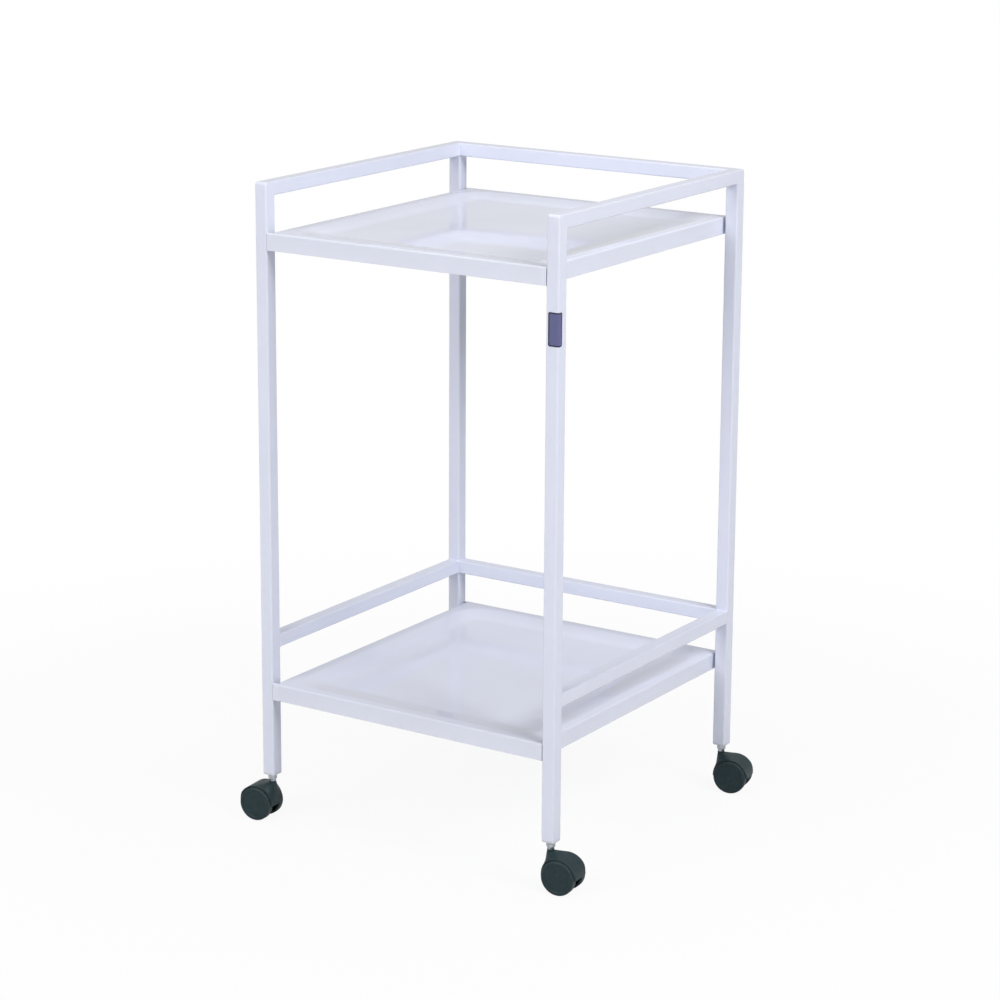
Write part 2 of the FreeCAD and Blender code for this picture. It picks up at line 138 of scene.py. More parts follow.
class Piece:
    """One object of the scene, gathered from patches and made in one go."""

    def __init__(self, name: str, patches: Sequence[Patch]) -> None:
        """Keeps the name and the patches."""
        self.name = name
        self.patches = list(patches)

    def _gather(self) -> tuple[Array, Array, Array, list[list[int]], Array]:
        """Takes the patches together, one after the other.

        Returns:
            Their points in metres, normals, wear, faces and chart.
        """
        points, normals, wears, charts = [], [], [], []
        faces: list[list[int]] = []
        base = 0
        for patch in self.patches:
            grid, normal, wear = patch.shell()
            rows, columns = grid.shape[:2]
            faces += (patch.faces(rows, columns) + base).tolist()
            blocks = [(grid.reshape(-1, 3), normal.reshape(-1, 3), wear.reshape(-1))]
            tip = base + rows * columns
            for at_end, row in ((False, 0), (True, rows - 1)):
                if not patch.pole[at_end]:
                    continue
                middle = grid[row].mean(0)
                facing = normal[row].mean(0)
                facing = facing / max(float(np.linalg.norm(facing)), 1e-9)
                blocks.append((middle[None], facing[None], wear[row].mean()[None]))
                j = np.arange(columns)
                pair = [base + row * columns + j, base + row * columns + (j + 1) % columns]
                fan = [pair[0], pair[1]] if at_end else [pair[1], pair[0]]
                faces += np.stack([*fan, np.full(columns, tip)], -1).tolist()
                tip += 1
            chart = np.zeros((rows * columns, 2)) if patch.chart is None else patch.chart.reshape(-1, 2)
            for block in blocks:
                points.append(block[0])
                normals.append(block[1])
                wears.append(block[2])
            charts.append(np.concatenate([chart, np.zeros((tip - base - rows * columns, 2))]))
            base = tip
        return (np.concatenate(points) * MM, np.concatenate(normals), np.concatenate(wears), faces,
                np.concatenate(charts))

    def make(self) -> bpy.types.Object:
        """Makes the object, with its normals, its wear and, where a patch has one, its chart.

        Returns:
            The object, at the origin and in the scene.
        """
        points, normals, wear, faces, chart = self._gather()
        mesh = bpy.data.meshes.new(self.name)
        mesh.from_pydata(points.tolist(), [], faces)
        mesh.attributes.new("wear", "FLOAT", "POINT").data.foreach_set("value", wear.astype(np.float32))
        mesh.polygons.foreach_set("use_smooth", np.ones(len(faces), bool))
        if any(patch.chart is not None for patch in self.patches):
            corners = np.zeros(len(mesh.loops), np.int32)
            mesh.loops.foreach_get("vertex_index", corners)
            mesh.uv_layers.new(name="chart").data.foreach_set("uv", (chart[corners] * MM).ravel())
        mesh.update()
        mesh.normals_split_custom_set_from_vertices(normals.tolist())
        made = bpy.data.objects.new(self.name, mesh)
        bpy.context.scene.collection.objects.link(made)
        return made

    def build(self, finish: "Finish", body: str, slot: str, replaces: Sequence[str] = ()) -> bpy.types.Object:
        """Makes the object, gives it its finish and hangs it on its body."""
        return hang(self.make(), finish, body, slot, replaces)


def hang(made: bpy.types.Object, finish: "Finish", body: str, slot: str,
         replaces: Sequence[str] = ()) -> bpy.types.Object:
    """Gives a finished object its material and its place in the frame, and reports it.

    Args:
        made: The object.
        finish: What it is coated with or made of.
        body: The body of the frame that carries it.
        slot: The name of its material slot, which only goes to the log.
        replaces: The nodes that it stands for.

    Returns:
        The object.
    """
    made.data.materials.clear()
    made.data.materials.append(finish.material())
    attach(made, body)
    if replaces:
        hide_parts(*replaces)
    log.info("%s: %d faces on %s, %s", made.name, len(made.data.polygons), body, slot)
    return made


def rounded_path(corners: Sequence[Triple], turn_step: float = 10.0) -> Array:
    """An open line in a plane with its corners rounded.

    Each inner corner of radius r becomes an arc that touches both runs: its ends stand back by
    r * tan(half the turn), and its centre is r from both.

    Args:
        corners: The corners with the radius of each.
        turn_step: The most that the line turns between two points, in degrees.

    Returns:
        The points, n by 2.
    """
    places = np.array([corner[:2] for corner in corners], float)
    line = [places[:1]]
    for before, at, after, radius in zip(places, places[1:], places[2:], [c[2] for c in corners[1:]]):
        into = (at - before) / np.linalg.norm(at - before)
        out = (after - at) / np.linalg.norm(after - at)
        turn = math.atan2(into[0] * out[1] - into[1] * out[0], float(into @ out))
        if radius <= 0 or abs(turn) < 1e-6:
            line.append(at[None])
            continue
        side = math.copysign(1.0, turn)
        left = np.array([-into[1], into[0]])
        centre = at - into * radius * math.tan(abs(turn) / 2) + left * radius * side
        steps = max(2, math.ceil(abs(math.degrees(turn)) / turn_step))
        angle = np.linspace(0, turn, steps + 1)[:, None] + math.atan2(-left[1] * side, -left[0] * side)
        line.append(centre + radius * np.concatenate([np.cos(angle), np.sin(angle)], 1))
    return np.concatenate([*line, places[-1:]])


def closed_path(corners: Sequence[Triple], turn_step: float = 10.0) -> Array:
    """A closed line in a plane with its corners rounded.

    Args:
        corners: The corners with the radius of each.
        turn_step: The most that the line turns between two points, in degrees.

    Returns:
        The points, n by 2, without a repeated last one.
    """
    first, last = np.array(corners[0][:2]), np.array(corners[-1][:2])
    middle = tuple((first + last) / 2)
    return rounded_path([(*middle, 0.0), *corners, (*middle, 0.0)], turn_step)[:-1]


@dataclass(frozen=True)
class Outline:
    """Rounded rectangle walked once round against the clock, with as many points at any size.

    A point is sign * (half size - radius) + radius * turn. The sign goes from corner to corner along
    the sides, and the turn is the unit vector that swings through a quarter in each corner.

    Attributes:
        per_corner: Steps in each corner.
        per_side: Steps along each side.
    """

    per_corner: int = 8
    per_side: int = 2

    def basis(self) -> tuple[Array, Array, Array]:
        """What the points of every size have in common.

        Returns:
            Signs and turns, n by 2 each, and for each point how near it is to a corner's middle.
        """
        corner = np.array([[1, 1], [-1, 1], [-1, -1], [1, -1]], float)
        share = np.linspace(0, 1, self.per_corner + 1)
        angle = math.pi / 2 * (np.arange(4)[:, None] + share[None, :])
        arc_turn = np.stack([np.cos(angle), np.sin(angle)], -1)
        arc_sign = np.repeat(corner[:, None], self.per_corner + 1, 1)
        t = (np.arange(1, self.per_side) / self.per_side)[None, :, None]
        side_sign = corner[:, None] * (1 - t) + np.roll(corner, -1, 0)[:, None] * t
        side_turn = np.repeat(arc_turn[:, -1:], self.per_side - 1, 1)
        nearness = np.concatenate([np.sin(math.pi * share), np.zeros(self.per_side - 1)])
        sign = np.concatenate([arc_sign, side_sign], 1).reshape(-1, 2)
        turn = np.concatenate([arc_turn, side_turn], 1).reshape(-1, 2)
        return sign, turn, np.tile(nearness, 4)

    def points(self, half_x: Array | float, half_y: Array | float, radius: Array | float) -> Array:
        """The outline at one size or at several.

        Args:
            half_x: Half the size in X, or several.
            half_y: Half the size in Y, or as many.
            radius: The corners' radius, or as many.

        Returns:
            The points, n by 2, or rows by n by 2.
        """
        sign, turn, _ = self.basis()
        half_x, half_y, radius = np.broadcast_arrays(*map(np.asarray, (half_x, half_y, radius)))
        half = np.stack([half_x, half_y], -1)[..., None, :]
        r = radius[..., None, None]
        return sign * (half - r) + r * turn


def stack(outline: Outline, half_x: Array, half_y: Array, radius: Array, z: Array,
          centre: tuple[float, float]) -> Array:
    """Grid of level outlines, one for each height.

    Args:
        outline: What is laid at each height.
        half_x: Half of each one's size in X.
        half_y: Half of each one's size in Y.
        radius: Each one's corner radius.
        z: The heights.
        centre: Their common middle in X and Y.

    Returns:
        The points, rows by columns by 3.
    """
    flat = outline.points(half_x, half_y, radius) + np.array(centre)
    height = np.broadcast_to(np.asarray(z)[:, None, None], (*flat.shape[:2], 1))
    return np.concatenate([flat, height], 2)


def turned(profile: Array, columns: int, closed: bool = False, pole: tuple[bool, bool] = (False, False),
           wear: Array | None = None) -> Patch:
    """Surface of revolution about Z: a point is (r * cos a, r * sin a, z) for each (r, z) and angle a.

    Args:
        profile: The (r, z), n by 2.
        columns: How many angles.
        closed: The profile's last point joins its first.
        pole: The start or the end is closed by a fan.
        wear: The wear of each point of the profile.

    Returns:
        The patch, one row for each point of the profile.
    """
    angle = np.arange(columns) * 2 * math.pi / columns
    r, z = profile[:, :1], profile[:, 1:]
    points = np.stack(np.broadcast_arrays(r * np.cos(angle), r * np.sin(angle), z), -1)
    shade = None if wear is None else np.repeat(wear[:, None], columns, 1)
    return Patch(points, ring=closed, pole=pole, wear=shade)


def moved(patch: Patch, matrix: Matrix) -> Patch:
    """The patch carried elsewhere.

    Args:
        patch: What is carried.
        matrix: The turn and the shift, in millimetres.

    Returns:
        The patch in its new place.
    """
    m = np.array(matrix, float)
    points = patch.points @ m[:3, :3].T + m[:3, 3]
    return Patch(points, patch.loop, patch.ring, patch.guard, patch.pole, patch.lead, patch.wear, patch.chart)


def sheet_solid(face: Array, back: Array, chart: Array | None = None) -> list[Patch]:
    """Closed thin solid between two grids of one size: a sleeve round both and a strip at each end.

    Args:
        face: The grid of one side.
        back: The grid of the other.
        chart: The coordinates that both have.

    Returns:
        The sleeve and the two strips.
    """
    marks = [None] * 3 if chart is None else [
        np.concatenate([chart, chart[:, ::-1]], 1), np.stack([chart[0]] * 2), np.stack([chart[-1]] * 2)]
    return [Patch(np.concatenate([face, back[:, ::-1]], 1), chart=marks[0]),
            Patch(np.stack([back[0], face[0]]), loop=False, chart=marks[1]),
            Patch(np.stack([face[-1], back[-1]]), loop=False, chart=marks[2])]


def turned_over(patches: Sequence[Patch], wanted: bool) -> list[Patch]:
    """The patches, where it is wanted with their columns walked the other way.

    Args:
        patches: The patches of one solid.
        wanted: They are turned over. If not, they stay as they are.

    Returns:
        The patches, the same in number.
    """
    if not wanted:
        return list(patches)
    return [Patch(p.points[:, ::-1], p.loop, p.ring, p.guard, p.pole, p.lead,
                  None if p.wear is None else p.wear[:, ::-1],
                  None if p.chart is None else p.chart[:, ::-1]) for p in patches]


# Materials


class Graph:
    """Node tree of one material or world, with one method for any kind of node."""

    def __init__(self, owner: bpy.types.Material | bpy.types.World) -> None:
        """Takes over a tree and empties it.

        Args:
            owner: The material or world that has it.
        """
        self.owner = owner
        owner.use_nodes = True
        self.tree = owner.node_tree
        self.tree.nodes.clear()

    def node(self, kind: str, settings: Mapping[str, Any] | None = None,
             inputs: Mapping[str | int, Any] | None = None) -> bpy.types.Node:
        """Adds a node.

        Args:
            kind: The node's type.
            settings: Its own properties, which are set first; stops are a ramp's places and colours.
            inputs: Values, links or Values for its sockets, by name or number.

        Returns:
            The node.
        """
        made = self.tree.nodes.new(kind)
        for key, value in (settings or {}).items():
            if key == "stops":
                ramp = made.color_ramp
                while len(ramp.elements) < len(value):
                    ramp.elements.new(0.5)
                for element, (place, colour) in zip(ramp.elements, value):
                    element.position = place
                    element.color = (*colour, 1.0)
            else:
                setattr(made, key, value)
        for key, value in (inputs or {}).items():
            socket = made.inputs[key]
            if isinstance(value, Value):
                value = value.socket
            if isinstance(value, bpy.types.NodeSocket):
                self.tree.links.new(value, socket)
            else:
                socket.default_value = value
        return made

    def value(self, socket: bpy.types.NodeSocket) -> "Value":
        """The socket as a number to calculate with."""
        return Value(self, socket)

    def coordinates(self, centre: Triple = (0.0, 0.0, 0.0), stretch: Triple = (1.0, 1.0, 1.0)
                    ) -> bpy.types.NodeSocket:
        """Object coordinates, centred on a place and stretched.

        Args:
            centre: What becomes the origin, in metres.
            stretch: What each coordinate is multiplied by.

        Returns:
            The coordinates' output.
        """
        source = self.node("ShaderNodeTexCoord").outputs["Object"]
        shift = tuple(-c * s for c, s in zip(centre, stretch))
        mapping = self.node("ShaderNodeMapping", inputs={
            "Vector": source, "Location": shift, "Scale": stretch})
        return mapping.outputs["Vector"]

    def noise(self, place: bpy.types.NodeSocket, scale: float, detail: float = 2.0,
              roughness: float = 0.5) -> "Value":
        """Soft noise from 0 to 1.

        Args:
            place: The coordinates.
            scale: Waves to the metre.
            detail: How many finer layers lie on it.
            roughness: How strong each finer layer is, from 0 to 1.

        Returns:
            The noise.
        """
        made = self.node("ShaderNodeTexNoise", inputs={
            "Vector": place, "Scale": scale, "Detail": detail, "Roughness": roughness})
        return self.value(made.outputs[0])

    def attribute(self, name: str) -> "Value":
        """A number kept at the mesh's points."""
        return self.value(self.node("ShaderNodeAttribute", {"attribute_name": name}).outputs["Fac"])

    def between(self, value: "Value", low: float, high: float) -> "Value":
        """0 below the low mark, 1 above the high one, and a smooth rise between.

        Args:
            value: What is compared.
            low: The low mark.
            high: The high mark.

        Returns:
            The share, from 0 to 1.
        """
        made = self.node("ShaderNodeMapRange", {"interpolation_type": "SMOOTHSTEP"},
                         {"Value": value, "From Min": low, "From Max": high})
        return self.value(made.outputs["Result"])

    def blend(self, share: "Value | float", first: Any, second: Any) -> bpy.types.NodeSocket:
        """Colour that goes from the first to the second.

        Args:
            share: How much there is of the second, from 0 to 1.
            first: Colour where the share is 0.
            second: Colour where it is 1.

        Returns:
            The colour's output.
        """
        made = self.node("ShaderNodeMix", {"data_type": "RGBA"}, {0: share, 6: first, 7: second})
        return made.outputs[2]

    def bump(self, height: "Value", depth: float, strength: float = 1.0,
             under: bpy.types.NodeSocket | None = None) -> bpy.types.NodeSocket:
        """Normal of an uneven surface.

        Args:
            height: How high it is, from 0 to 1.
            depth: The rise from 0 to 1, in metres.
            strength: How much of the bump is used.
            under: The normal that it is added to.

        Returns:
            The normal's output.
        """
        inputs: dict[str | int, Any] = {"Height": height, "Distance": depth, "Strength": strength}
        if under is not None:
            inputs["Normal"] = under
        return self.node("ShaderNodeBump", inputs=inputs).outputs["Normal"]

    def finish(self, shader: bpy.types.NodeSocket) -> bpy.types.Material | bpy.types.World:
        """Joins the shader to the output.

        Args:
            shader: What covers the surface, or what the world gives out.

        Returns:
            The material or world.
        """
        kind = "World" if isinstance(self.owner, bpy.types.World) else "Material"
        self.node("ShaderNodeOutput" + kind, inputs={"Surface": shader})
        return self.owner


@dataclass(frozen=True)
class Value:
    """A number that varies over a surface. Its operators add Math nodes."""

    graph: Graph
    socket: bpy.types.NodeSocket

    def _math(self, operation: str, *terms: "Value | float") -> "Value":
        """Math node of that operation on the terms."""
        made = self.graph.node("ShaderNodeMath", {"operation": operation}, dict(enumerate(terms)))
        return Value(self.graph, made.outputs[0])

    def __add__(self, other: "Value | float") -> "Value":
        """Sum."""
        return self._math("ADD", self, other)

    def __radd__(self, other: float) -> "Value":
        """Sum, with a plain number first."""
        return self._math("ADD", other, self)

    def __sub__(self, other: "Value | float") -> "Value":
        """Difference."""
        return self._math("SUBTRACT", self, other)

    def __rsub__(self, other: float) -> "Value":
        """Difference, with a plain number first."""
        return self._math("SUBTRACT", other, self)

    def __mul__(self, other: "Value | float") -> "Value":
        """Product."""
        return self._math("MULTIPLY", self, other)

    def __rmul__(self, other: float) -> "Value":
        """Product, with a plain number first."""
        return self._math("MULTIPLY", other, self)

    def at_most(self, other: "Value | float") -> "Value":
        """The smaller of the two."""
        return self._math("MINIMUM", self, other)

    def at_least(self, other: "Value | float") -> "Value":
        """The larger of the two."""
        return self._math("MAXIMUM", self, other)


class Finish:
    """What a piece is coated with or made of. Its material is made once."""

    _made: dict["Finish", bpy.types.Material] = {}

    def material(self) -> bpy.types.Material:
        """Makes the material of this finish where it is not made yet.

        Returns:
            The material.
        """
        if self not in Finish._made:
            Finish._made[self] = self.mix()
        return Finish._made[self]

    def mix(self) -> bpy.types.Material:
        """Makes the material."""
        raise NotImplementedError


def rgb(red: float, green: float, blue: float) -> tuple[float, float, float, float]:
    """A colour for a socket, from linear parts."""
    return (red, green, blue, 1.0)


@dataclass(frozen=True)
class Enamel(Finish):
    """Baked gloss enamel over steel, with orange peel, slow waves and thinner paint on the edges."""

    name: str
    colour: Triple
    shade: Triple
    roughness: float = 0.13
    peel_waves: float = 380.0
    peel_depth: float = 0.000012
    slow_waves: float = 34.0
    slow_depth: float = 0.00006

    def mix(self) -> bpy.types.Material:
        """Cloudy colour, peel and slow waves in the normal, duller where rubbed.

        Returns:
            The material.
        """
        g = Graph(bpy.data.materials.new(self.name))
        place = g.coordinates()
        cloud = g.noise(place, 7.0, 3.0)
        fine = g.noise(place, 90.0, 3.0, 0.6)
        edge = g.attribute("wear")
        colour = g.blend(g.between(cloud, 0.35, 0.7), rgb(*self.colour), rgb(*self.shade))
        bare = tuple(c * 0.9 for c in self.shade)
        colour = g.blend(edge * (0.25 + 0.35 * fine), colour, rgb(*bare))
        peel = g.bump(g.noise(place, self.peel_waves, 1.5), self.peel_depth)
        slow = g.bump(g.noise(place, self.slow_waves, 1.0), self.slow_depth, under=peel)
        roughness = self.roughness * (0.7 + 0.6 * fine) + 0.05 * edge
        shader = g.node("ShaderNodeBsdfPrincipled", inputs={
            "Base Color": colour, "Roughness": roughness, "IOR": 1.5, "Normal": slow})
        return g.finish(shader.outputs[0])


@dataclass(frozen=True)
class MouldedPlastic(Finish):
    """Moulded nylon with a fine spark-eroded grain, scuffed to grey where it runs on the floor."""

    name: str
    colour: Triple
    scuffed: Triple
    roughness: float = 0.42
    sheen: float = 0.5
    grain_waves: float = 1500.0
    grain_depth: float = 0.00003

    def mix(self) -> bpy.types.Material:
        """Slightly mottled colour, grain in the normal, grey and duller where rubbed.

        Returns:
            The material.
        """
        g = Graph(bpy.data.materials.new(self.name))
        place = g.coordinates()
        mottle = g.noise(place, 120.0, 4.0, 0.6)
        streak = g.noise(place, 520.0, 3.0, 0.7)
        grain = g.noise(place, self.grain_waves, 2.0)
        rubbed = (g.attribute("wear") * g.between(streak, 0.32, 0.68)).at_most(1.0)
        darker = tuple(c * 0.8 for c in self.colour)
        colour = g.blend(g.between(mottle, 0.3, 0.7), rgb(*self.colour), rgb(*darker))
        colour = g.blend(rubbed * 0.75, colour, rgb(*self.scuffed))
        roughness = self.roughness + 0.14 * (mottle - 0.5) + 0.2 * rubbed
        shader = g.node("ShaderNodeBsdfPrincipled", inputs={
            "Base Color": colour, "Roughness": roughness, "Specular IOR Level": self.sheen,
            "Normal": g.bump(grain, self.grain_depth)})
        return g.finish(shader.outputs[0])


@dataclass(frozen=True)
class PlatedSteel(Finish):
    """Bright zinc plate with turning marks round the upright axis."""

    name: str
    colour: Triple
    dull: Triple
    roughness: float = 0.28

    def mix(self) -> bpy.types.Material:
        """Metal with fine level marks and cloudy plating.

        Returns:
            The material.
        """
        g = Graph(bpy.data.materials.new(self.name))
        marks = g.noise(g.coordinates(stretch=(40.0, 40.0, 2200.0)), 1.0, 2.0)
        cloud = g.noise(g.coordinates(), 260.0, 3.0)
        colour = g.blend(g.between(cloud, 0.35, 0.65), rgb(*self.colour), rgb(*self.dull))
        roughness = self.roughness + 0.16 * (cloud - 0.5) + 0.12 * (marks - 0.5)
        shader = g.node("ShaderNodeBsdfPrincipled", inputs={
            "Base Color": colour, "Metallic": 1.0, "Roughness": roughness,
            "Normal": g.bump(marks, 0.00001)})
        return g.finish(shader.outputs[0])


@dataclass(frozen=True)
class PrintedFilm(Finish):
    """Glossy printed film with nothing on it but a plain panel inside a darker border."""

    name: str
    border: Triple
    panel: Triple
    width: float
    height: float
    border_width: float

    def mix(self) -> bpy.types.Material:
        """Panel inside the border by the film's own coordinates, with faint mottling.

        Returns:
            The material.
        """
        g = Graph(bpy.data.materials.new(self.name))
        chart = g.node("ShaderNodeUVMap", {"uv_map": "chart"}).outputs[0]
        parts = g.node("ShaderNodeSeparateXYZ", inputs={0: chart})
        x, y = g.value(parts.outputs[0]), g.value(parts.outputs[1])
        inside_x = x.at_most(self.width * MM - x)
        inside_y = y.at_most(self.height * MM - y)
        inside = g.between(inside_x.at_most(inside_y), (self.border_width - 0.15) * MM,
                           (self.border_width + 0.15) * MM)
        mottle = g.noise(g.coordinates(), 260.0, 3.0, 0.6)
        panel = g.blend(mottle, rgb(*self.panel), rgb(*(c * 0.8 for c in self.panel)))
        colour = g.blend(inside, rgb(*self.border), panel)
        shader = g.node("ShaderNodeBsdfPrincipled", inputs={
            "Base Color": colour, "Roughness": 0.16 + 0.08 * mottle,
            "Normal": g.bump(g.noise(g.coordinates(), 160.0, 2.0), 0.00002)})
        return g.finish(shader.outputs[0])


ENAMEL = Enamel("frame_enamel", (0.755, 0.780, 0.905), (0.735, 0.760, 0.880))
TRAY_ENAMEL = Enamel("tray_enamel", (0.760, 0.785, 0.900), (0.740, 0.765, 0.875), 0.05, slow_waves=16.0,
                     slow_depth=0.00006, peel_depth=0.000004)
HOOD_PLASTIC = MouldedPlastic("hood_plastic", (0.020, 0.040, 0.046), (0.09, 0.10, 0.10), 0.42, 0.22)
WHEEL_PLASTIC = MouldedPlastic("wheel_plastic", (0.017, 0.036, 0.042), (0.08, 0.09, 0.09), 0.44, 0.22)
INSERT_PLASTIC = MouldedPlastic("insert_plastic", (0.70, 0.72, 0.79), (0.55, 0.57, 0.60), 0.36)
BRIGHT_ZINC = PlatedSteel("bright_zinc", (0.50, 0.53, 0.56), (0.34, 0.36, 0.39))
SPRING_STEEL = PlatedSteel("spring_steel", (0.34, 0.34, 0.35), (0.22, 0.22, 0.24), 0.34)


# Frame


class EndKind(Enum):
    """How a tube stops."""

    OPEN = "cut square, its wall showing"
    BUTT = "cut square against another tube"
    MITRE = "cut at half the corner and ground round"


@dataclass(frozen=True)
class TubeEnd:
    """Where a tube's centre line stops, how, and at a mitre the way in which the next tube leaves."""

    at: Triple
    kind: EndKind = EndKind.BUTT
    leaves: Triple = (0.0, 0.0, 0.0)


@dataclass(frozen=True)
class SquareTube:
    """Square tube with rounded corners between two ends."""

    start: TubeEnd
    end: TubeEnd
    half: float = 10.0
    wall: float = 1.5
    corner: float = 2.5
    mitre_round: float = 4.0
    hair: float = 0.05
    outline: Outline = Outline(8, 1)

    def _section(self, axis: Array) -> tuple[Array, Array]:
        """The tube's outline, square across its axis.

        Args:
            axis: Unit vector along the tube.

        Returns:
            Offsets of the outline from the centre line, n by 3, and its wear at the corners.
        """
        side = np.array([0.0, 0.0, 1.0]) if abs(axis[2]) < 0.5 else np.array([1.0, 0.0, 0.0])
        other = np.cross(axis, side)
        flat = self.outline.points(self.half, self.half, self.corner)
        return flat[:, :1] * side + flat[:, 1:] * other, self.outline.basis()[2]

    def _mitre(self, end: TubeEnd, out: Array, section: Array) -> Array:
        """Rows that fan about the corner's inner edge, from square across to just past the mitre.

        A point that is s from the inner edge goes to s * k, where k is the distance of the square's
        rounded outline in that direction over its distance straight across.

        Args:
            end: Where the centre lines meet.
            out: Unit vector out of the tube.
            section: Offsets of the outline.

        Returns:
            The rows, with one past the mitre for the shading.
        """
        inward = np.array(end.leaves)
        reach = self.half + self.hair
        across = reach + self.half
        centre = across - self.mitre_round
        arc = np.radians(np.linspace(0, 45, 7))
        arc = np.append(arc, 2 * arc[-1] - arc[-2])
        x = np.concatenate([[across], centre + self.mitre_round * np.cos(arc)])
        y = np.concatenate([[0.0], centre + self.mitre_round * np.sin(arc)])
        inner = section @ inward
        s = (reach - inner)[None, :, None] / across
        rest = section - inner[:, None] * inward
        edge = np.array(end.at) + reach * (inward - out)
        return edge + s * (-inward * x[:, None, None] + out * y[:, None, None]) + rest

    def _rows(self, end: TubeEnd, out: Array, section: Array) -> Array:
        """The rows at one end.

        Args:
            end: The end.
            out: Unit vector out of the tube.
            section: Offsets of the outline.

        Returns:
            The rows, from the tube's run outwards.
        """
        if end.kind is EndKind.MITRE:
            return self._mitre(end, out, section)
        at = np.array(end.at)
        if end.kind is EndKind.BUTT:
            return (section + at)[None]
        scale = (self.half - self.wall) / self.half
        rows = [(1.0, 0.25), (1.0 - 0.15 / self.half, 0.0), (scale, 0.0), (scale, 12.0)]
        return np.stack([section * grow + at - out * back for grow, back in rows])

    def patch(self) -> Patch:
        """Lays the outline along the tube, from one end's rows to the other's.

        Returns:
            The whole tube.
        """
        run = np.array(self.end.at, float) - np.array(self.start.at, float)
        axis = run / np.linalg.norm(run)
        section, near_corner = self._section(axis)
        rows = np.concatenate([self._rows(self.start, -axis, section)[::-1],
                               self._rows(self.end, axis, section)])
        guard = tuple(int(e.kind is EndKind.MITRE) for e in (self.start, self.end))
        wear = np.broadcast_to(near_corner, rows.shape[:2])
        return Patch(rows, guard=guard, lead=tuple(axis), wear=wear)


@dataclass(frozen=True)
class WeldBead:
    """Small painted bead round a tube's end, in the groove and corners of the joint.

    A point is the outline, plus the bead's radius times (cos b * outwards + sin b * axis), and the
    radius swells and shrinks a little along the bead.
    """

    at: Triple
    axis: Triple
    half_level: float
    half_up: float
    radius: float = 1.35
    corner: float = 2.2
    outline: Outline = Outline(8, 26)

    def patch(self) -> Patch:
        """Carries the bead's round section along the outline.

        Returns:
            The bead, closed both ways.
        """
        axis = np.array(self.axis)
        side = np.array([0.0, 0.0, 1.0]) if abs(axis[2]) < 0.5 else np.array([1.0, 0.0, 0.0])
        other = np.cross(axis, side)
        flat = self.outline.points(self.half_up, self.half_level, self.corner)
        _, turn, _ = self.outline.basis()
        step = np.linalg.norm(np.roll(flat, -1, 0) - flat, axis=1)
        along = np.concatenate([[0.0], np.cumsum(step)[:-1]])
        turns = round(step.sum() / 2.4)
        swell = 1 + 0.07 * np.sin(2 * math.pi * turns * along / step.sum())
        b = (np.arange(10) * 2 * math.pi / 10)[:, None, None]
        outwards = turn[:, :1] * side + turn[:, 1:] * other
        line = flat[:, :1] * side + flat[:, 1:] * other + np.array(self.at)
        r = (self.radius * swell)[None, :, None]
        return Patch(line + r * (np.cos(b) * outwards + np.sin(b) * axis), ring=True)


@dataclass(frozen=True)
class TubeFrame:
    """Welded frame: four legs, a guard rail on three sides and a lower rail on three sides."""

    leg_x: float = 240.0
    leg_y: float = 240.0
    leg_bottom: float = 73.0
    rail_top: float = 940.0
    lower_rail_top: float = 282.0
    tube: float = 20.0
    bead_sink: float = 1.2

    def tubes(self) -> dict[str, SquareTube]:
        """Places the tubes.

        Returns:
            Every tube by the node that it stands for.
        """
        half = self.tube / 2
        x, y = self.leg_x, self.leg_y
        top = self.rail_top - half
        low = self.lower_rail_top - half
        down, back = (0.0, 0.0, -1.0), (0.0, 1.0, 0.0)
        made = {}
        for side, name in ((-1, "left"), (1, "right")):
            inward = (-side * 1.0, 0.0, 0.0)
            foot = TubeEnd((side * x, -y, self.leg_bottom), EndKind.OPEN)
            made[f"leg_front_{name}"] = SquareTube(foot, TubeEnd((side * x, -y, top), EndKind.MITRE, back))
            foot = TubeEnd((side * x, y, self.leg_bottom), EndKind.OPEN)
            made[f"leg_back_{name}"] = SquareTube(foot, TubeEnd((side * x, y, top - half)))
            made[f"top_rail_{name}"] = SquareTube(
                TubeEnd((side * x, -y, top), EndKind.MITRE, down),
                TubeEnd((side * x, y, top), EndKind.MITRE, inward))
            made[f"lower_rail_{name}"] = SquareTube(
                TubeEnd((side * x, -y + half, low)), TubeEnd((side * x, y - half, low)))
        forward = (0.0, -1.0, 0.0)
        made["top_rail_back"] = SquareTube(TubeEnd((-x, y, top), EndKind.MITRE, forward),
                                           TubeEnd((x, y, top), EndKind.MITRE, forward))
        made["lower_rail_back"] = SquareTube(TubeEnd((-x + half, y, low)), TubeEnd((x - half, y, low)))
        return made

    def beads(self) -> dict[str, list[WeldBead]]:
        """Places the weld beads, at the ends of the lower rails and the tops of the back legs.

        Returns:
            The beads by piece.
        """
        half = self.tube / 2
        low = self.lower_rail_top - half
        flush, proud = half - self.bead_sink, half + 0.1
        x, y = self.leg_x, self.leg_y
        made: dict[str, list[WeldBead]] = {}
        for side, name in ((-1, "left"), (1, "right")):
            made[f"lower_rail_{name}_welds"] = [
                WeldBead((side * x, end * (y - half), low), (0.0, 1.0, 0.0), flush, proud) for end in (-1, 1)]
            made[f"leg_back_{name}_weld"] = [
                WeldBead((side * x, y, self.rail_top - self.tube), (0.0, 0.0, 1.0), flush, flush)]
        made["lower_rail_back_welds"] = [
            WeldBead((end * (x - half), y, low), (1.0, 0.0, 0.0), flush, proud) for end in (-1, 1)]
        return made

    def dress(self) -> None:
        """Builds the tubes and their welds."""
        for name, tube in self.tubes().items():
            Piece(name + "_tube", [tube.patch()]).build(ENAMEL, "frame", "frame_enamel", [name])
        for name, beads in self.beads().items():
            Piece(name, [bead.patch() for bead in beads]).build(ENAMEL, "frame", "frame_enamel")


# Trays


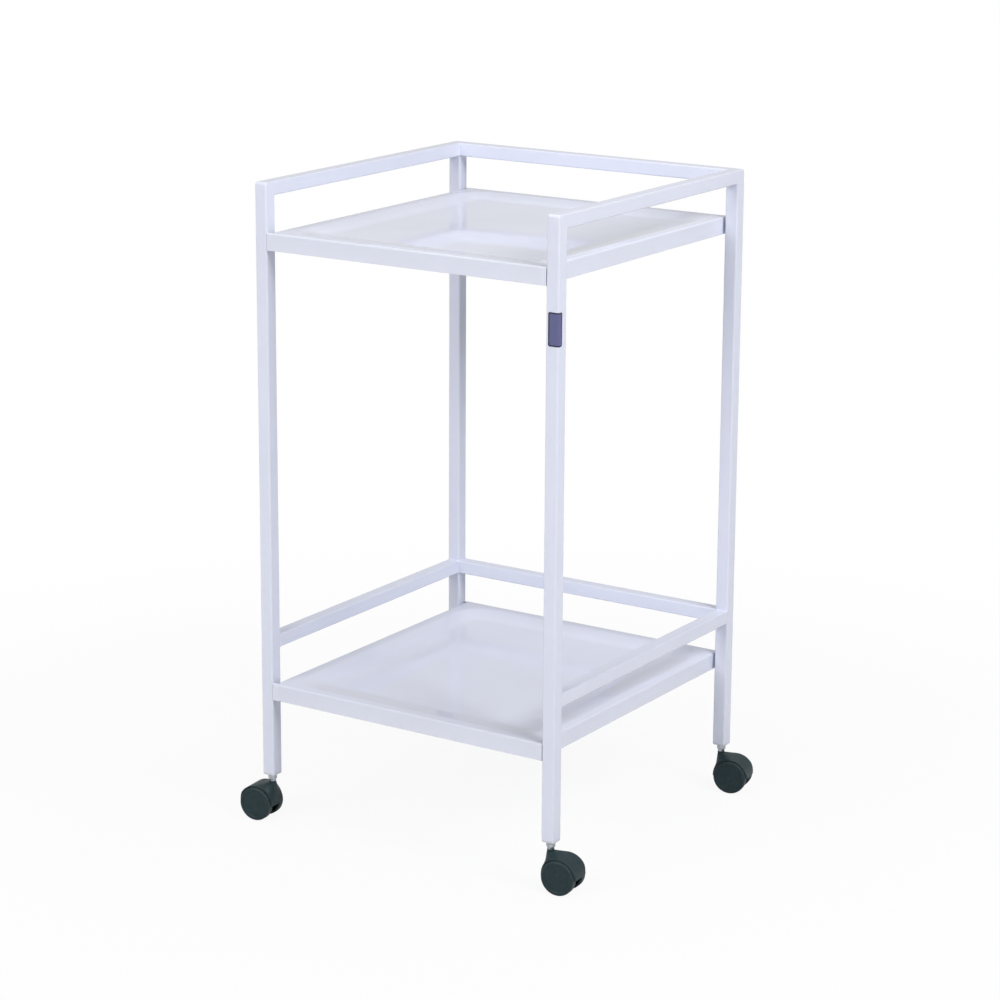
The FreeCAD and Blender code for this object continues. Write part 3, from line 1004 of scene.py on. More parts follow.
@dataclass(frozen=True)
class PressedTray:
    """Tray pressed from sheet: dished floor, flat rim, flanges with a hem, ears to the legs."""

    node: str
    height: float
    half_x: float = 226.0
    half_y: float = 250.0
    sheet: float = 1.2
    flange: float = 25.0
    bend: float = 3.0
    plan_corner: float = 5.0
    hem: float = 9.0
    proud: float = 0.02
    rim: float = 16.0
    depth: float = 5.5
    run: float = 38.0
    basin_corner: float = 52.0
    least_corner: float = 14.0
    rim_round: float = 60.0
    floor_round: float = 110.0
    floor_start: float = 66.0
    leg_face: float = 230.0
    ear: float = 5.0
    tab: float = 12.0
    waviness: float = 0.16
    phase: float = 0.0
    disc_rows: int = 12
    outline: Outline = Outline(16, 22)

    def _basin_line(self) -> tuple[Array, Array]:
        """The pressing's section from the rim's middle to the floor.

        Returns:
            Inset and height of the upper face, and of the lower.
        """
        slope = math.atan2(self.depth, self.run)
        t = self.sheet
        shift = t * (1 / math.cos(slope) - 1) / math.tan(slope)
        middle = (self.bend + self.rim) / 2
        upper = rounded_path([(middle, 0, 0), (self.rim, 0, self.rim_round),
                              (self.rim + self.run, -self.depth, self.floor_round),
                              (self.floor_start, -self.depth, 0)], 1.5)
        lower = rounded_path([(middle, -t, 0), (self.rim - shift, -t, self.rim_round - t),
                              (self.rim + self.run - shift, -self.depth - t, self.floor_round + t),
                              (self.floor_start, -self.depth - t, 0)], 1.5)
        return upper, lower

    def _flange_line(self) -> Array:
        """The flange's section, from the underside of the rim round the hem to the top of the rim.

        Returns:
            Inset and height.
        """
        t = self.sheet
        middle = (self.bend + self.rim) / 2
        foot = -self.flange
        return rounded_path([
            (middle, -t, 0), (t, -t, self.bend - t), (t, foot + t, 0.2), (self.hem, foot + t, 0.25),
            (self.hem, foot, 0.25), (0, foot, 0.9), (0, 0, self.bend), (middle, 0, 0)], 9.0)

    def _warp(self, points: Array) -> Array:
        """Slow rise and fall of the floor, nothing at the rim: three plane waves times a dome.

        Args:
            points: The flat pan.

        Returns:
            The points, lifted.
        """
        x, y = points[..., 0], points[..., 1]
        inner_x = self.half_x - self.rim - self.run
        inner_y = self.half_y - self.rim - self.run
        dome = np.clip(1 - (x / inner_x) ** 2, 0, 1) * np.clip(1 - (y / inner_y) ** 2, 0, 1)
        wave = (np.sin(x / 61 + 1.3 * self.phase) + np.sin(y / 73 + 2.1 + self.phase)
                + np.sin((x + y) / 88 + 0.7 * self.phase))
        lift = self.waviness * np.sqrt(dome) * wave
        return points + lift[..., None] * np.array([0.0, 0.0, 1.0])

    def _disc(self, z: float) -> Array:
        """The flat middle of the pan at a height, as rows that grow from its centre.

        Args:
            z: The height, from the rim.

        Returns:
            Half size in X and in Y, corner radius and height of each row.
        """
        size = np.array([self.half_x - self.floor_start, self.half_y - self.floor_start, self.least_corner])
        share = np.linspace(0, 1, self.disc_rows + 2)[1:-1, None]
        return np.concatenate([size * share, np.full(share.shape, z)], 1)

    def _basin(self, line: Array) -> Array:
        """The pan along a section, its corners tighter with each step in, down to the least one.

        Args:
            line: Inset and height.

        Returns:
            Half size in X and in Y, corner radius and height of each row.
        """
        inset, z = line.T
        corner = np.maximum(self.basin_corner + self.rim - inset, self.least_corner)
        return np.stack([self.half_x - inset, self.half_y - inset, corner, z], 1)

    def pan(self) -> Patch:
        """The pan as one closed skin, from the middle of its underside to that of its floor.

        Returns:
            The whole pan.
        """
        upper, lower = self._basin_line()
        inset, z = self._flange_line()[1:-1].T
        side = np.stack([self.half_x - inset, self.half_y - inset, self.plan_corner - inset / 3, z], 1)
        rows = np.concatenate([self._disc(-self.depth - self.sheet), self._basin(lower)[::-1], side,
                               self._basin(upper), self._disc(-self.depth)[::-1]])
        half_x, half_y, corner, z = rows.T
        grid = stack(self.outline, half_x, half_y, corner, z + self.height, (0.0, 0.0))
        turning = np.abs(np.gradient(z)) > 0.05
        edge = np.where((z > -self.bend) & turning & (half_x > self.half_x - 4), 0.7, 0.0)
        foot = np.where((z < 0.6 - self.flange) & (half_x > self.half_x - 1), 0.8, 0.0)
        wear = np.broadcast_to((edge + foot)[:, None], grid.shape[:2])
        return Patch(self._warp(grid), pole=(True, True), wear=wear)

    def _ear(self, sx: int, sy: int) -> list[Patch]:
        """The rim's bend and flange, carried on past the pan's corner to the leg's face.

        Args:
            sx: -1 for the left corner, 1 for the right one.
            sy: -1 for the front, 1 for the back.

        Returns:
            The ear's patches.
        """
        t = self.sheet
        lines = [[(-self.ear, 0, 0), (self.proud, 0, self.bend), (self.proud, -self.flange, 0)],
                 [(-self.ear, -t, 0), (-t, -t, self.bend - t), (-t, -self.flange, 0)]]
        x = np.array([self.half_x - self.plan_corner - 0.4, self.leg_face])[:, None]
        sides = []
        for line in lines:
            out, up = rounded_path(line).T
            y, z = sy * (self.half_y + out), self.height + up
            sides.append(np.stack(np.broadcast_arrays(sx * x, y, z), -1))
        return turned_over(sheet_solid(*sides), sx * sy > 0)

    def _tab(self, sx: int, sy: int) -> list[Patch]:
        """The ear's end, folded back along the leg's face, with its lower corner rounded.

        Args:
            sx: -1 for the left corner, 1 for the right one.
            sy: -1 for the front, 1 for the back.

        Returns:
            The tab's patches.
        """
        back = np.array([0.5, self.tab - 2, self.tab - 0.6, self.tab])
        low = self.flange - np.array([0.0, 0.0, 0.8, 2.0])
        z = self.height - np.linspace(self.bend, low, 3).T
        y = np.broadcast_to(sy * (self.half_y - back)[:, None], z.shape)
        sides = [np.stack([np.full(z.shape, sx * x), y, z], -1)
                 for x in (self.leg_face, self.leg_face - self.sheet)]
        return turned_over(sheet_solid(*sides), sx * sy < 0)

    def ears(self) -> list[Patch]:
        """The four ears that reach the legs, each with its tab."""
        return [patch for sx in (-1, 1) for sy in (-1, 1)
                for patch in (*self._ear(sx, sy), *self._tab(sx, sy))]

    def welds(self) -> list[Patch]:
        """An upright bead along the end of each tab.

        Returns:
            The four beads.
        """
        patches = []
        share = np.linspace(-1, 1, 44)
        size = np.sqrt(np.clip(1 - share ** 8, 0, 1)) * (1.25 + 0.08 * np.sin(share * 26))
        size[[0, -1]] = 0.15
        profile = np.stack([size, share * 9.0], 1)
        for sx in (-1, 1):
            for sy in (-1, 1):
                bead = turned(profile, 12, pole=(True, True))
                shift = Matrix.Translation(Vector((sx * (self.leg_face - 0.5), sy * (self.half_y - self.tab),
                                                   self.height - self.bend - 10.5)))
                patches.append(moved(bead, shift))
        return patches

    def dress(self) -> None:
        """Builds the tray with its ears, and its welds."""
        Piece(self.node + "_pressing", [self.pan(), *self.ears()]).build(
            TRAY_ENAMEL, "frame", "tray_enamel", [self.node])
        Piece(self.node + "_welds", self.welds()).build(TRAY_ENAMEL, "frame", "tray_enamel")


# Film on the front right leg


@dataclass(frozen=True)
class LegFilm:
    """Plain film stuck round the outer corner of the front right leg, with its own corners rounded."""

    leg: tuple[float, float] = (240.0, -240.0)
    half: float = 10.0
    corner: float = 2.5
    on_front: float = 16.2
    on_side: float = 8.6
    low: float = 765.0
    high: float = 811.0
    gap: float = 0.01
    thickness: float = 0.12
    edge_round: float = 2.2

    def _across(self, lift: float) -> Array:
        """Line round the leg's corner: front face, quarter arc, side face.

        Args:
            lift: How far it is off the tube.

        Returns:
            The points, n by 2, evenly spaced.
        """
        x, y = self.leg
        a = self.half + lift
        line = rounded_path([(self.half - self.on_front, -a, 0), (a, -a, self.corner + lift),
                             (a, self.on_side - self.half, 0)], 6.0)
        distance = np.concatenate([[0], np.cumsum(np.linalg.norm(np.diff(line, axis=0), axis=1))])
        even = np.linspace(0, distance[-1], 34)
        return np.stack([np.interp(even, distance, line[:, k]) for k in (0, 1)], 1) + np.array([x, y])

    def dress(self) -> None:
        """Builds the film. Its half height is shorter by the corner's rounding near both ends."""
        lower, upper = self._across(self.gap), self._across(self.gap + self.thickness)
        step = np.linalg.norm(np.diff(lower, axis=0), axis=1)
        s = np.concatenate([[0], np.cumsum(step)])
        r = self.edge_round
        near = np.clip(r - np.minimum(s, s[-1] - s), 0, r)
        half = (self.high - self.low) / 2 - (r - np.sqrt(np.clip(r ** 2 - near ** 2, 0, None)))
        up = np.linspace(-1, 1, 40)
        z = (self.low + self.high) / 2 + half[:, None] * up[None]
        sides = [np.concatenate([np.broadcast_to(line[:, None], (*z.shape, 2)), z[..., None]], 2)
                 for line in (upper, lower)]
        chart = np.stack([np.broadcast_to(s[:, None], z.shape), z - self.low], -1)
        film = PrintedFilm("plain_film", (0.016, 0.017, 0.050), (0.125, 0.130, 0.285), float(s[-1]),
                           self.high - self.low, 2.0)
        Piece("leg_film", sheet_solid(*sides, chart)).build(film, "frame", "frame_enamel")


# Leg inserts, washers and stems


@dataclass(frozen=True)
class LegFoot:
    """What carries a caster at a leg's open end: ribbed insert, washer, and stem with its clip."""

    place: str
    x: float
    y: float
    insert_bottom: float = 70.0
    flange: float = 3.0
    insert_depth: float = 24.0
    chamfer: float = 1.2
    half: float = 10.0
    corner: float = 2.5
    rib_half: float = 8.4
    body_half: float = 7.6
    bore: float = 4.05
    washer_radius: float = 7.0
    washer_bottom: float = 68.8
    hexagon_bottom: float = 62.5
    hexagon_flats: float = 11.0
    hexagon_chamfer: float = 0.8
    shoulder_radius: float = 5.0
    shoulder_bottom: float = 59.3
    thread_radius: float = 4.0
    thread_length: float = 18.0
    thread_pitch: float = 1.25
    thread_depth: float = 0.42
    pin_radius: float = 3.5
    groove: tuple[float, float] = (29.7, 30.7)
    groove_radius: float = 3.0
    pin_bottom: float = 28.2

    def insert(self) -> Patch:
        """Ribbed plug: a stack of rounded squares that turn into the round bore at both ends.

        Returns:
            The insert.
        """
        low, top = self.insert_bottom, self.insert_bottom + self.flange
        rows = [(self.half - self.chamfer - 0.2, low), (self.half - self.chamfer + 0.1, low + 0.1),
                (self.half - 0.15, low + self.chamfer - 0.1), (self.half, low + self.chamfer + 0.2),
                (self.half, top - 0.15), (self.half - 0.15, top), (self.body_half, top)]
        pitch = self.insert_depth / 3
        for index in range(3):
            edge = top + (index + 1) * pitch
            rows += [(self.body_half, edge - 2.0), (self.rib_half, edge - 1.8), (self.rib_half - 0.2, edge),
                     (self.body_half, edge)]
        b = self.bore
        table = np.array([(b, b, b, low), *((half, half, min(self.corner, half), z) for half, z in rows),
                          (b, b, b, top + self.insert_depth)])
        return Patch(stack(Outline(6, 1), *table.T, (self.x, self.y)), ring=True)

    def washer(self) -> Patch:
        """Flat washer, a closed outline carried round its bore.

        Returns:
            The washer.
        """
        low, high = self.washer_bottom, self.insert_bottom
        outline = closed_path([(self.bore, low, 0.1), (self.washer_radius, low, 0.3),
                               (self.washer_radius, high, 0.3), (self.bore, high, 0.1)], 30.0)
        patch = turned(outline, 48, closed=True)
        return moved(patch, Matrix.Translation(Vector((self.x, self.y, 0))))

    def stem(self) -> Patch:
        """Stem, a radius for each angle and height.

        The pin and its groove are round. On the collar the radius is the flats' distance over the
        cosine of the angle from the nearest flat, cut down by the chamfer's cone. On the thread it
        is a ridge that climbs one pitch in each turn.

        Returns:
            The stem.
        """
        tip = self.insert_bottom + self.thread_length
        low, high = self.hexagon_bottom, self.washer_bottom
        chamfer, groove, columns = 0.5, self.groove, 48
        pin = [(self.pin_radius - chamfer, self.pin_bottom), (self.pin_radius, self.pin_bottom + chamfer),
               (self.pin_radius, groove[0]), (self.groove_radius, groove[0]), (self.groove_radius, groove[1]),
               (self.pin_radius, groove[1]), (self.pin_radius, self.shoulder_bottom),
               (self.shoulder_radius - 0.3, self.shoulder_bottom),
               (self.shoulder_radius, self.shoulder_bottom + 0.3), (self.shoulder_radius, low)]
        angle = np.arange(columns) * 2 * math.pi / columns
        from_flat = (angle + math.pi / 6) % (math.pi / 3) - math.pi / 6
        flats = self.hexagon_flats / 2
        hexagon = flats / np.cos(from_flat)
        corner = flats / math.cos(math.pi / 6)
        collar_z = np.concatenate([np.linspace(low, low + self.hexagon_chamfer, 5),
                                   np.linspace(high - self.hexagon_chamfer, high, 5)])
        rise = np.minimum(collar_z - low, high - collar_z) / self.hexagon_chamfer
        cone = corner * (0.94 + 0.07 * rise)
        collar = np.minimum(hexagon[None], cone[:, None])
        thread_z = np.linspace(high, tip - 0.6, 110)
        ridge = 0.5 + 0.5 * np.cos(2 * math.pi * thread_z[:, None] / self.thread_pitch - angle[None])
        thread = self.thread_radius - self.thread_depth * (1 - ridge)
        round_rows = np.array(pin)
        radius = np.concatenate([np.repeat(round_rows[:, :1], columns, 1), collar, thread,
                                 np.full((1, columns), self.thread_radius - 0.9)])
        z = np.concatenate([round_rows[:, 1], collar_z, thread_z, [tip]])[:, None]
        grid = np.stack(np.broadcast_arrays(radius * np.cos(angle), radius * np.sin(angle), z), -1)
        return moved(Patch(grid, pole=(True, True)), Matrix.Translation(Vector((self.x, self.y, 0))))

    def dress(self) -> None:
        """Builds the insert, washer and stem, and plates the clip."""
        p = self.place
        Piece(f"insert_{p}", [self.insert()]).build(INSERT_PLASTIC, "frame", "insert_plastic",
                                                   [f"leg_insert_{p}"])
        Piece(f"washer_{p}", [self.washer()]).build(BRIGHT_ZINC, "frame", "stem_steel", [f"stem_washer_{p}"])
        Piece(f"stem_{p}", [self.stem()]).build(BRIGHT_ZINC, "frame", "stem_steel", [f"caster_stem_{p}"])
        recoat(f"stem_clip_{p}", SPRING_STEEL)


def recoat(node: str, finish: Finish) -> None:
    """Gives a node that keeps its own shape a finish.

    Args:
        node: The node's name.
        finish: What it is coated with or made of.
    """
    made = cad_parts[node]
    made.data.materials.clear()
    made.data.materials.append(finish.material())
    log.info("%s: keeps its shape, finish %s", node, finish.material().name)


# Casters


@dataclass(frozen=True)
class Hood:
    """Moulded hood of a caster, in the caster's own frame: the stem on Z, trailing along +X.

    The cowl is ruled. Between the neck's foot and the side, a point lies on the straight line from
    the neck's profile to the round rim that follows the wheels.
    """

    trail: float
    axle_height: float
    half: float = 18.4
    front_half: float = 15.5
    front_x: float = -8.2
    front_height: float = 24.0
    rear_round: float = 5.0
    front_round: float = 4.0
    cavity: float = 25.8
    wall: float = 1.4
    marks: Triple = (75.0, 98.0, 114.0)
    neck_foot: float = 4.2
    foot_height: float = 56.8
    neck_top: float = 58.8
    socket_radius: float = 5.18
    socket_bottom: float = 31.0
    bore: float = 3.58
    clip_room: float = 5.6
    web_half: float = 4.0
    keel_height: float = 16.0
    boss_radius: float = 7.0
    boss_end: float = 9.1
    axle_bore: float = 2.51
    edge_round: float = 0.7
    lip: float = 0.25
    web_sink: float = 0.6
    web_ring: float = 4.4
    web_top: float = 43.0
    front_wall: float = 0.9
    front_lean: float = 0.12

    def _rim(self, degrees: Array) -> Array:
        """The round rim that follows the wheels.

        Args:
            degrees: Angles about the axle.

        Returns:
            The points (x, z).
        """
        a = np.radians(degrees)[:, None]
        turn = np.concatenate([np.cos(a), np.sin(a)], 1)
        return np.array([self.trail, self.axle_height]) + (self.cavity + self.wall) * turn

    def _profiles(self) -> tuple[Array, Array]:
        """The two lines between which the cowl is ruled.

        Returns:
            The neck's profile and the rim, point by point from the rear edge over the top to the front.
        """
        drop = (self.front_height - self.axle_height) / (self.cavity + self.wall)
        marks = np.array([*self.marks, 180 - math.degrees(math.asin(drop))])
        corners = np.array([self._rim(marks[:1])[0], [self.neck_foot, self.foot_height],
                            [-self.neck_foot, self.foot_height], [self.front_x, self.front_height]])
        line = rounded_path([(*corner, size) for corner, size in zip(corners, (0.0, 0.8, 1.6, 0.0))])
        run = np.concatenate([[0.0], np.cumsum(np.linalg.norm(np.diff(line, axis=0), axis=1))])
        nearest = [int(np.argmin(np.linalg.norm(line - corner, axis=1))) for corner in corners]
        even = np.union1d(run, np.linspace(0, run[-1], 48))
        neck = np.stack([np.interp(even, run, line[:, k]) for k in (0, 1)], 1)
        rim = self._rim(np.interp(even, run[nearest], marks))
        rear = self._rim(np.linspace(0, marks[0], 24)[:-1])
        return np.concatenate([rear, neck]), np.concatenate([rear, rim])

    def _half_at(self, x: Array) -> Array:
        """Half the hood's width in plan: rounded at the rear corners, drawn in towards the front.

        Args:
            x: Where it is wanted.

        Returns:
            The half width at each x.
        """
        rear = self.trail + self.cavity + self.wall
        front = self.front_x - 1
        line = rounded_path([
            (front, 0, 0), (front, self.front_half, self.front_round), (self.trail, self.half, 0),
            (rear, self.half, self.rear_round), (rear, 0, 0)], 5.0)
        return np.interp(x, line[1:-1, 0], line[1:-1, 1])

    def cowl(self) -> list[Patch]:
        """Cowl between its outside, with a rounded edge, and the round cavity over the wheels.

        Each row's edge is where the plan's half width meets the ruled line, found by putting one
        into the other a few times.

        Returns:
            The cowl's patches.
        """
        neck, rim = self._profiles()
        flank = self.half - self.neck_foot
        edge = np.full(len(neck), self.half)
        for _ in range(12):
            share = (edge - self.neck_foot) / flank
            edge = self._half_at(neck[:, 0] + share * (rim[:, 0] - neck[:, 0]))
        bend = np.radians(np.linspace(0, 90, 6))[1:]
        r = self.edge_round
        foot = self.neck_foot
        middle = np.broadcast_to(foot * np.array([0.0, 0.4, 0.8, 0.95]), (len(neck), 4))
        slope = foot * 1.05 + (edge - r - foot * 1.05)[:, None] * np.linspace(0, 1, 9)
        y = np.concatenate([middle, slope, (edge - r)[:, None] + r * np.sin(bend)], 1)
        drop = np.concatenate([np.zeros(13), r * (1 - np.cos(bend))])
        share = np.clip((y - foot) / flank, 0, 1)[..., None]
        flat = neck[:, None] + share * (rim - neck)[:, None]
        axle = np.array([self.trail, self.axle_height])
        outwards = (flat - axle) / np.linalg.norm(flat - axle, axis=2, keepdims=True)
        flat = flat - drop[:, None] * outwards
        inside = axle + self.cavity * outwards[:, -1]
        inside_y = self._half_at(inside[:, 0])
        mouth = axle + (self.cavity + self.lip) * outwards[:, -1]
        lip = np.stack([mouth[:, 0], inside_y, mouth[:, 1]], 1)
        half = np.concatenate([np.stack([flat[..., 0], y, flat[..., 1]], -1), lip[:, None]], 1)
        face = np.concatenate([half[:, :0:-1] * (1, -1, 1), half], 1)
        across = (inside_y - self.lip)[:, None] * np.linspace(-1, 1, face.shape[1])
        ceiling = np.broadcast_to(inside[:, None], (*across.shape, 2))
        back = np.stack([ceiling[..., 0], across, ceiling[..., 1]], -1)
        return sheet_solid(face, back)

    def _web_outline(self, y: float) -> Array:
        """Outline of the web behind the socket: into the cowl, round the clip, and the keel.

        Args:
            y: How far it is from the hood's middle plane.

        Returns:
            The points (x, z).
        """
        top = self.cavity + self.web_sink
        ring_x = math.sqrt(self.web_ring ** 2 - y ** 2)
        room_x = math.sqrt(self.clip_room ** 2 - y ** 2)
        last = math.acos((ring_x - self.trail) / top)
        a = np.linspace(0, last, 30)
        arc = np.stack([self.trail + top * np.cos(a), self.axle_height + top * np.sin(a)], 1)
        fall = (self.front_height - self.keel_height) / (self.trail - self.front_x)
        low = self.front_height - fall * (room_x - self.front_x)
        return np.concatenate([arc, [[ring_x, self.socket_bottom], [room_x, self.socket_bottom - 0.4],
                                     [room_x, low], [self.trail, self.keel_height]]])

    def web(self) -> list[Patch]:
        """Web from the cowl down to its keel, and the narrow piece of it in front of the socket.

        Returns:
            The patches of both.
        """
        centre = np.array([self.trail, self.axle_height])
        w = self.web_half
        rows = []
        for y, share in ((-w, 0.3), (-w, 0.985), (0.25 - w, 1.0), (-0.6 * w, 1.0), (0.0, 1.0), (0.6 * w, 1.0),
                         (w - 0.25, 1.0), (w, 0.985), (w, 0.3)):
            line = centre + share * (self._web_outline(y) - centre)
            rows.append(np.stack([line[:, 0], np.full(len(line), y), line[:, 1]], 1))
        across = np.linspace(-w, w, 7)
        z = np.array([self.front_height, self.socket_bottom, self.socket_bottom + 0.1, self.web_top])[:, None]
        wall_x = self.front_x + self.front_wall + self.front_lean * (z - self.front_height)
        hole = np.where(z <= self.socket_bottom, self.clip_room, self.web_ring)
        front = np.stack(np.broadcast_arrays(wall_x, across, z), -1)
        back = np.stack(np.broadcast_arrays(-np.sqrt(hole ** 2 - across ** 2), across, z), -1)
        return [Patch(np.stack(rows), pole=(True, True)), *sheet_solid(front, back)]

    def socket(self) -> list[Patch]:
        """Socket that ends in the neck, and the boss round the axle.

        Returns:
            The patches of both.
        """
        low, high, end = self.socket_bottom, self.neck_top, self.boss_end
        neck = closed_path([(self.bore, low, 0.2), (self.socket_radius, low, 0.4),
                            (self.socket_radius, high, 0.5), (self.bore, high, 0.3)])
        boss = closed_path([(self.axle_bore, -end, 0.2), (self.boss_radius, -end, 0.4),
                            (self.boss_radius, end, 0.4), (self.axle_bore, end, 0.2)])
        lay = Matrix.Rotation(-math.pi / 2, 4, "X")
        seat = Matrix.Translation(Vector((self.trail, 0, self.axle_height))) @ lay
        return [turned(neck, 48, closed=True), moved(turned(boss, 48, closed=True), seat)]

    def patches(self) -> list[Patch]:
        """The whole moulding."""
        return [*self.cowl(), *self.web(), *self.socket()]


@dataclass(frozen=True)
class Caster:
    """Twin-wheel caster: moulded hood on its stem, axle and two ribbed wheels.

    The wheels are made with their axle along Z and then laid over, turned and moved into place.
    """

    place: str
    x: float
    y: float
    turn: float
    trail: float = 19.4
    wheel_radius: float = 25.0
    wheel_inner: float = 9.5
    wheel_outer: float = 20.7
    tread_round: float = 3.0
    rim_wall: float = 3.2
    face_wall: float = 2.6
    dish_radius: float = 19.0
    dish_depth: float = 0.8
    cap_radius: float = 6.5
    cap_rise: float = 0.4
    hub_radius: float = 6.0
    bore: float = 2.56
    axle_end: float = 17.3
    ribs: int = 6
    rib_thickness: float = 1.6
    rib_setback: float = 2.5

    def _stand(self) -> Matrix:
        """Turn and shift from the caster's own frame to its place under the leg."""
        turn = Matrix.Rotation(math.radians(self.turn), 4, "Z")
        return Matrix.Translation(Vector((self.x, self.y, 0))) @ turn

    def _seat(self, side: int) -> Matrix:
        """Turn and shift from a wheel with its axle along Z to its place."""
        lay = Matrix.Rotation(-side * math.pi / 2, 4, "X")
        return self._stand() @ Matrix.Translation(Vector((self.trail, 0, self.wheel_radius))) @ lay

    def wheel(self) -> list[Patch]:
        """Rim, dished face, cap and blind hub as one outline carried round, and the ribs.

        Returns:
            The wheel's patches, with its axle along Z.
        """
        r, inner, outer = self.wheel_radius, self.wheel_inner, self.wheel_outer
        rim_in = r - self.rim_wall
        face_in = outer - self.dish_depth - self.face_wall
        face = outer - self.dish_depth
        blind = self.axle_end + 0.4
        outline = rounded_path([
            (0.4, blind, 0), (self.bore, blind, 0.1), (self.bore, inner, 0.3), (self.hub_radius, inner, 0.4),
            (self.hub_radius, face_in, 0.8), (rim_in, face_in, 0.8), (rim_in, inner, 0.4),
            (r, inner, 1.4), (r, outer, self.tread_round), (self.dish_radius + 0.9, outer, 0.5),
            (self.dish_radius - 0.2, face, 0.9), (self.cap_radius + 0.7, face, 0.3),
            (self.cap_radius, face + self.cap_rise, 0.3), (0.4, face + self.cap_rise, 0)], 12.0)
        z = outline[:, 1]
        on_tread = (outline[:, 0] > r - 0.35) & (z > inner + 0.8) & (z < outer - 1.2)
        wear = np.where(on_tread, 1.0, 0.0) + np.where(~on_tread & (outline[:, 0] > r - 1.6), 0.35, 0.0)
        crown = np.clip((z - inner) * (outer - z), 0, None) / ((outer - inner) / 2) ** 2
        outline[:, 0] -= np.where(on_tread, 0.05 * (1 - crown), 0.0)
        patches = [turned(outline, 96, pole=(True, True), wear=wear)]
        for index in range(self.ribs):
            angle = 2 * math.pi / self.ribs * index
            x = np.linspace(self.hub_radius - 0.5, rim_in + 0.5, 4)[:, None]
            z = np.linspace(inner + self.rib_setback, face_in + 0.5, 3)[None]
            half = self.rib_thickness / 2
            sides = [np.stack(np.broadcast_arrays(x, y, z), -1) for y in (half, -half)]
            spin = Matrix.Rotation(angle, 4, "Z")
            patches += [moved(patch, spin) for patch in turned_over(sheet_solid(*sides), True)]
        return patches

    def dress(self) -> None:
        """Builds the hood and wheels and plates the axle."""
        p = self.place
        hood = [moved(patch, self._stand()) for patch in Hood(self.trail, self.wheel_radius).patches()]
        Piece(f"hood_{p}", hood).build(HOOD_PLASTIC, f"caster_{p}", "hood_plastic", [f"caster_hood_{p}"])
        recoat(f"caster_axle_{p}", BRIGHT_ZINC)
        for side, letter in ((-1, "a"), (1, "b")):
            patches = [moved(patch, self._seat(side)) for patch in self.wheel()]
            Piece(f"wheel_{p}_{letter}", patches).build(
                WHEEL_PLASTIC, f"wheel_{p}_{letter}", "wheel_plastic", [f"caster_wheel_{p}_{letter}"])


# Studio and camera


@dataclass(frozen=True)
class Softbox:
    """Square area lamp: where it stands, what it points at, its side in metres and its power."""

    name: str
    place: Triple
    target: Triple
    side: float
    power: float
    colour: Triple = (1.0, 1.0, 1.0)

    def set_up(self) -> None:
        """Adds the lamp."""
        lamp = bpy.data.lights.new(self.name, "AREA")
        lamp.size = self.side
        lamp.energy = self.power
        lamp.color = self.colour
        made = bpy.data.objects.new(self.name, lamp)
        bpy.context.scene.collection.objects.link(made)
        aim = Vector(self.target) - Vector(self.place)
        turn = aim.to_track_quat("-Z", "Y").to_matrix().to_4x4()
        made.matrix_world = Matrix.Translation(Vector(self.place)) @ turn


